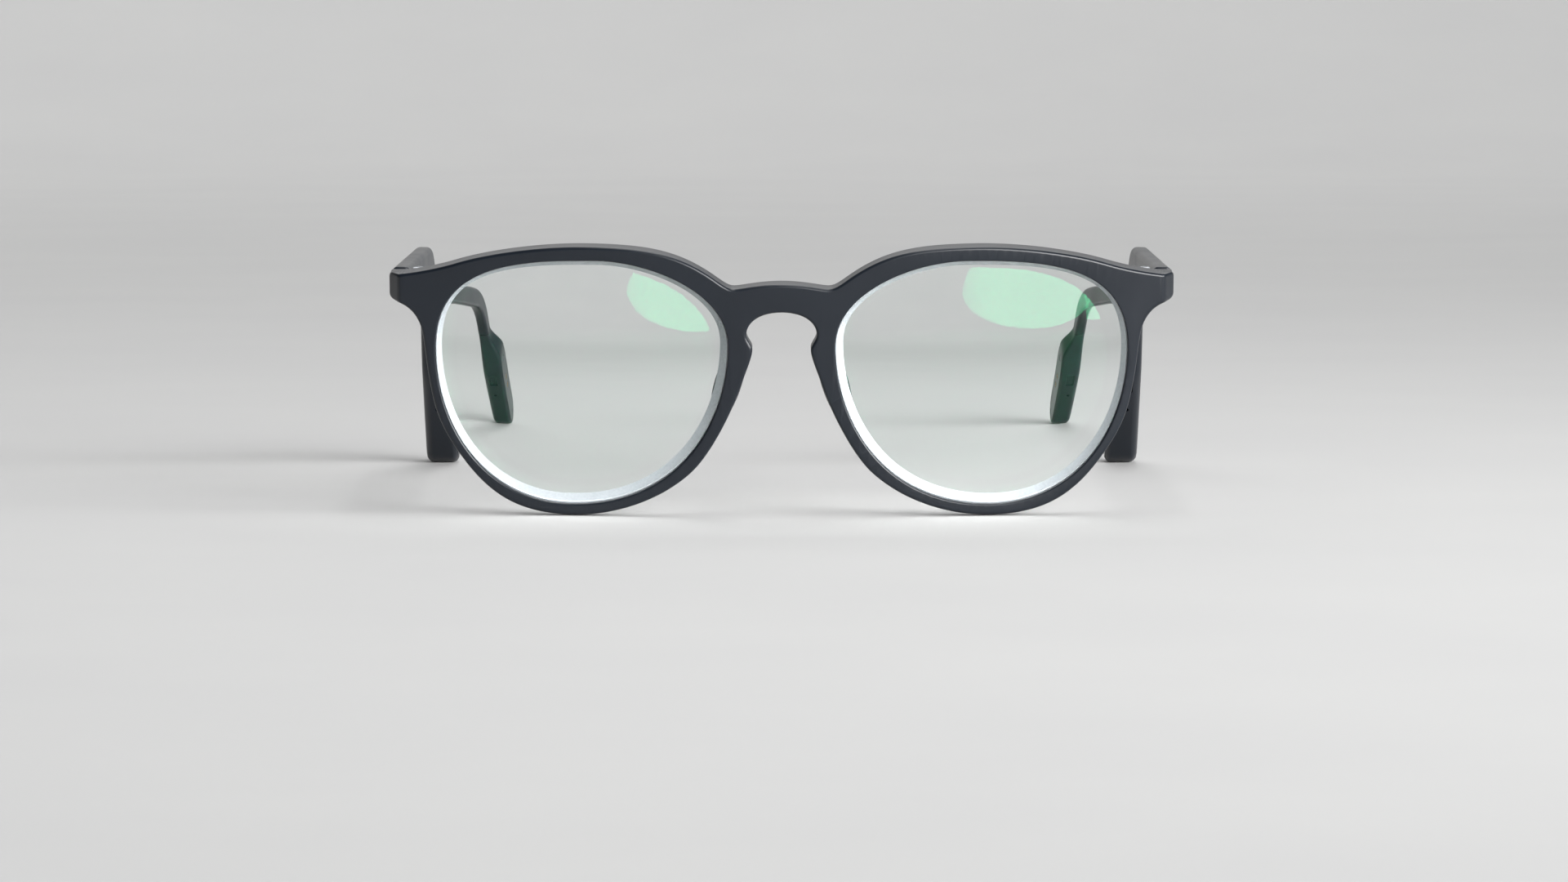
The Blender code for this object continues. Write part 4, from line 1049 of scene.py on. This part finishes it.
# -------------------------------------------------- inside the pods
# The circuit board stands on edge along the pod and carries the shielded radio, the microphone and the
# button's switch. Beside it lie the battery, in folded aluminium foil, and the copper antenna. All are sealed
# in. The core wire runs inside the arm.

def solder_mask():
    """Green solder mask over etched copper: tracks 0.2 mm wide show as slightly lighter lines."""
    finish, tree, shader, place = new_finish("green_solder_mask")
    tracks = add_node(
        tree, "ShaderNodeTexBrick",
        {"Vector": place, "Color1": linear("0f3a26"), "Color2": linear("15492f"), "Mortar": linear("2a6a45"),
         "Scale": 900.0, "Mortar Size": 0.06, "Brick Width": 0.9, "Row Height": 0.3}
    )
    bump = add_node(
        tree, "ShaderNodeBump", {"Height": tracks.outputs["Fac"], "Strength": 0.3, "Distance": 0.00002}
    )
    tree.links.new(tracks.outputs["Color"], shader.inputs["Base Color"])
    tree.links.new(bump.outputs["Normal"], shader.inputs["Normal"])
    shader.inputs["Roughness"].default_value = 0.35
    return finish


board_mask = solder_mask()
switch_plastic = hard_plastic("moulded_switch_plastic", "141517", "1d1e21", 0.45, 0.2)
seal_rubber = hard_plastic("moulded_silicone", "16171a", "202225", 0.72, 0.3)
battery_foil = bare_metal("folded_battery_foil", 0.34, (1.0, 1.0, 1.0), "8b8f94", "a3a7ac")
etched_copper = bare_metal("etched_copper_foil", 0.32, (1.0, 1.0, 1.0), "9c5a30", "b9744a")
drawn_wire = bare_metal("drawn_steel_wire", 0.3, (1.0, 0.1, 1.0))
for side, _ in SIDES:
    for node, finish in (
        ("circuit_board", board_mask), ("radio_shield", can_steel), ("microphone", can_steel),
        ("button_switch", switch_plastic), ("battery", battery_foil), ("antenna", etched_copper),
        ("pod_seal", seal_rubber), ("core_wire", drawn_wire),
    ):
        refinish(f"{node}_{side}", finish)


# -------------------------------------------------- studio
# Pale background paper that sweeps up behind. A strip softbox hangs overhead and a large one lights the far
# end of the paper. A wide oval one with a grid, at the front right, shows in the lens coating, and a small
# one further round lifts the right end piece.

PAPER_HALF_WIDTH = 3.0
PAPER_NEAR_Y = -3.0
CURVE_Y = 1.7
CURVE_RADIUS = 0.8
CURVE_STEPS = 24
PAPER_TOP_Z = 3.5


def pale_paper():
    """Pale grey background paper with a faint tooth."""
    finish, tree, shader, place = new_finish("pale_background_paper")
    tooth = add_node(tree, "ShaderNodeTexNoise", {"Vector": place, "Scale": 12.0, "Detail": 5.0})
    shade = add_node(
        tree, "ShaderNodeMix", {0: tooth.outputs["Fac"], 6: linear("b6b6b6"), 7: linear("bcbcbb")},
        data_type="RGBA"
    )
    tree.links.new(shade.outputs[2], shader.inputs["Base Color"])
    shader.inputs["Roughness"].default_value = 0.8
    shader.inputs["Specular IOR Level"].default_value = 0.2
    return finish


sweep = bmesh.new()
paper_line = [(PAPER_NEAR_Y, 0.0), (CURVE_Y, 0.0)]
for step in range(1, CURVE_STEPS + 1):
    turn = math.radians(90 * step / CURVE_STEPS)
    paper_line.append((CURVE_Y + CURVE_RADIUS * math.sin(turn), CURVE_RADIUS - CURVE_RADIUS * math.cos(turn)))
paper_line.append((CURVE_Y + CURVE_RADIUS, PAPER_TOP_Z))
verts = [sweep.verts.new((-PAPER_HALF_WIDTH, y, z)) for y, z in paper_line]
edges = [sweep.edges.new(pair) for pair in zip(verts, verts[1:])]
widened = bmesh.ops.extrude_edge_only(sweep, edges=edges)["geom"]
bmesh.ops.translate(sweep, verts=verts_of(widened), vec=(2 * PAPER_HALF_WIDTH, 0, 0))
bmesh.ops.recalc_face_normals(sweep, faces=sweep.faces)
if sum(face.normal.z for face in sweep.faces) < 0:
    bmesh.ops.reverse_faces(sweep, faces=sweep.faces)
sweep_mesh = bpy.data.meshes.new("paper_sweep")
sweep.to_mesh(sweep_mesh)
sweep.free()
sweep_mesh.shade_smooth()
sweep_mesh.materials.append(pale_paper())
paper_sweep = bpy.data.objects.new("paper_sweep", sweep_mesh)
bpy.context.scene.collection.objects.link(paper_sweep)


def softbox(name, place, target, size, watts, spread=180, shape="RECTANGLE"):
    """A soft lamp aimed at a point. A spread below 180 degrees is a honeycomb grid on its face."""
    light = bpy.data.lights.new(name, "AREA")
    light.shape = shape
    light.size, light.size_y = size
    light.energy = watts
    light.spread = math.radians(spread)
    lamp = bpy.data.objects.new(name, light)
    lamp.location = place
    lamp.rotation_euler = (Vector(target) - Vector(place)).to_track_quat("-Z", "Y").to_euler()
    lamp.visible_camera = False
    bpy.context.scene.collection.objects.link(lamp)


softbox("overhead_softbox", (0.1, 0.0, 1.3), (0, 0, 0), (1.5, 0.4), 7.6)
softbox("side_softbox", (1.3, -0.45, 0.4), (0.05, -0.07, 0.03), (0.6, 0.6), 2, spread=60)
softbox("backdrop_softbox", (0, 2.0, 1.6), (0, 2.0, 0), (3.4, 1.4), 42)
softbox(
    "right_softbox", (0.87, -1.27, 0.47), (0.0, -0.07, 0.03), (1.7, 0.96), 13.5, spread=80, shape="ELLIPSE"
)

world = bpy.data.worlds.new("studio_air")
bpy.context.scene.world = world
world.use_nodes = True
world.node_tree.nodes["Background"].inputs["Color"].default_value = linear("e6e9ee")
world.node_tree.nodes["Background"].inputs["Strength"].default_value = 0.1

# The camera looks at the face from in front and slightly above, through a long lens. It is shifted a little
# down and to the right, which sets the glasses above the middle of the picture.
CAMERA_ELEVATION = math.radians(4)
CAMERA_DISTANCE = 1.285
CAMERA_DROP = 0.01
CAMERA_SHIFT = Vector((0.00043, 0, 0))
ahead = Vector((0, math.cos(CAMERA_ELEVATION), -math.sin(CAMERA_ELEVATION)))
upward = Vector((0, math.sin(CAMERA_ELEVATION), math.cos(CAMERA_ELEVATION)))
front_middle = (FRONT @ Vector((0, 0, 0))) * MM
view = bpy.data.cameras.new("camera")
view.lens = 168.75
view.sensor_width = 36.0
view.clip_end = 20.0
camera = bpy.data.objects.new("camera", view)
camera.location = front_middle - ahead * CAMERA_DISTANCE - upward * CAMERA_DROP + CAMERA_SHIFT
camera.rotation_euler = ahead.to_track_quat("-Z", "Y").to_euler()
bpy.context.scene.collection.objects.link(camera)
bpy.context.scene.camera = camera
bpy.context.scene.view_settings.view_transform = "Standard"
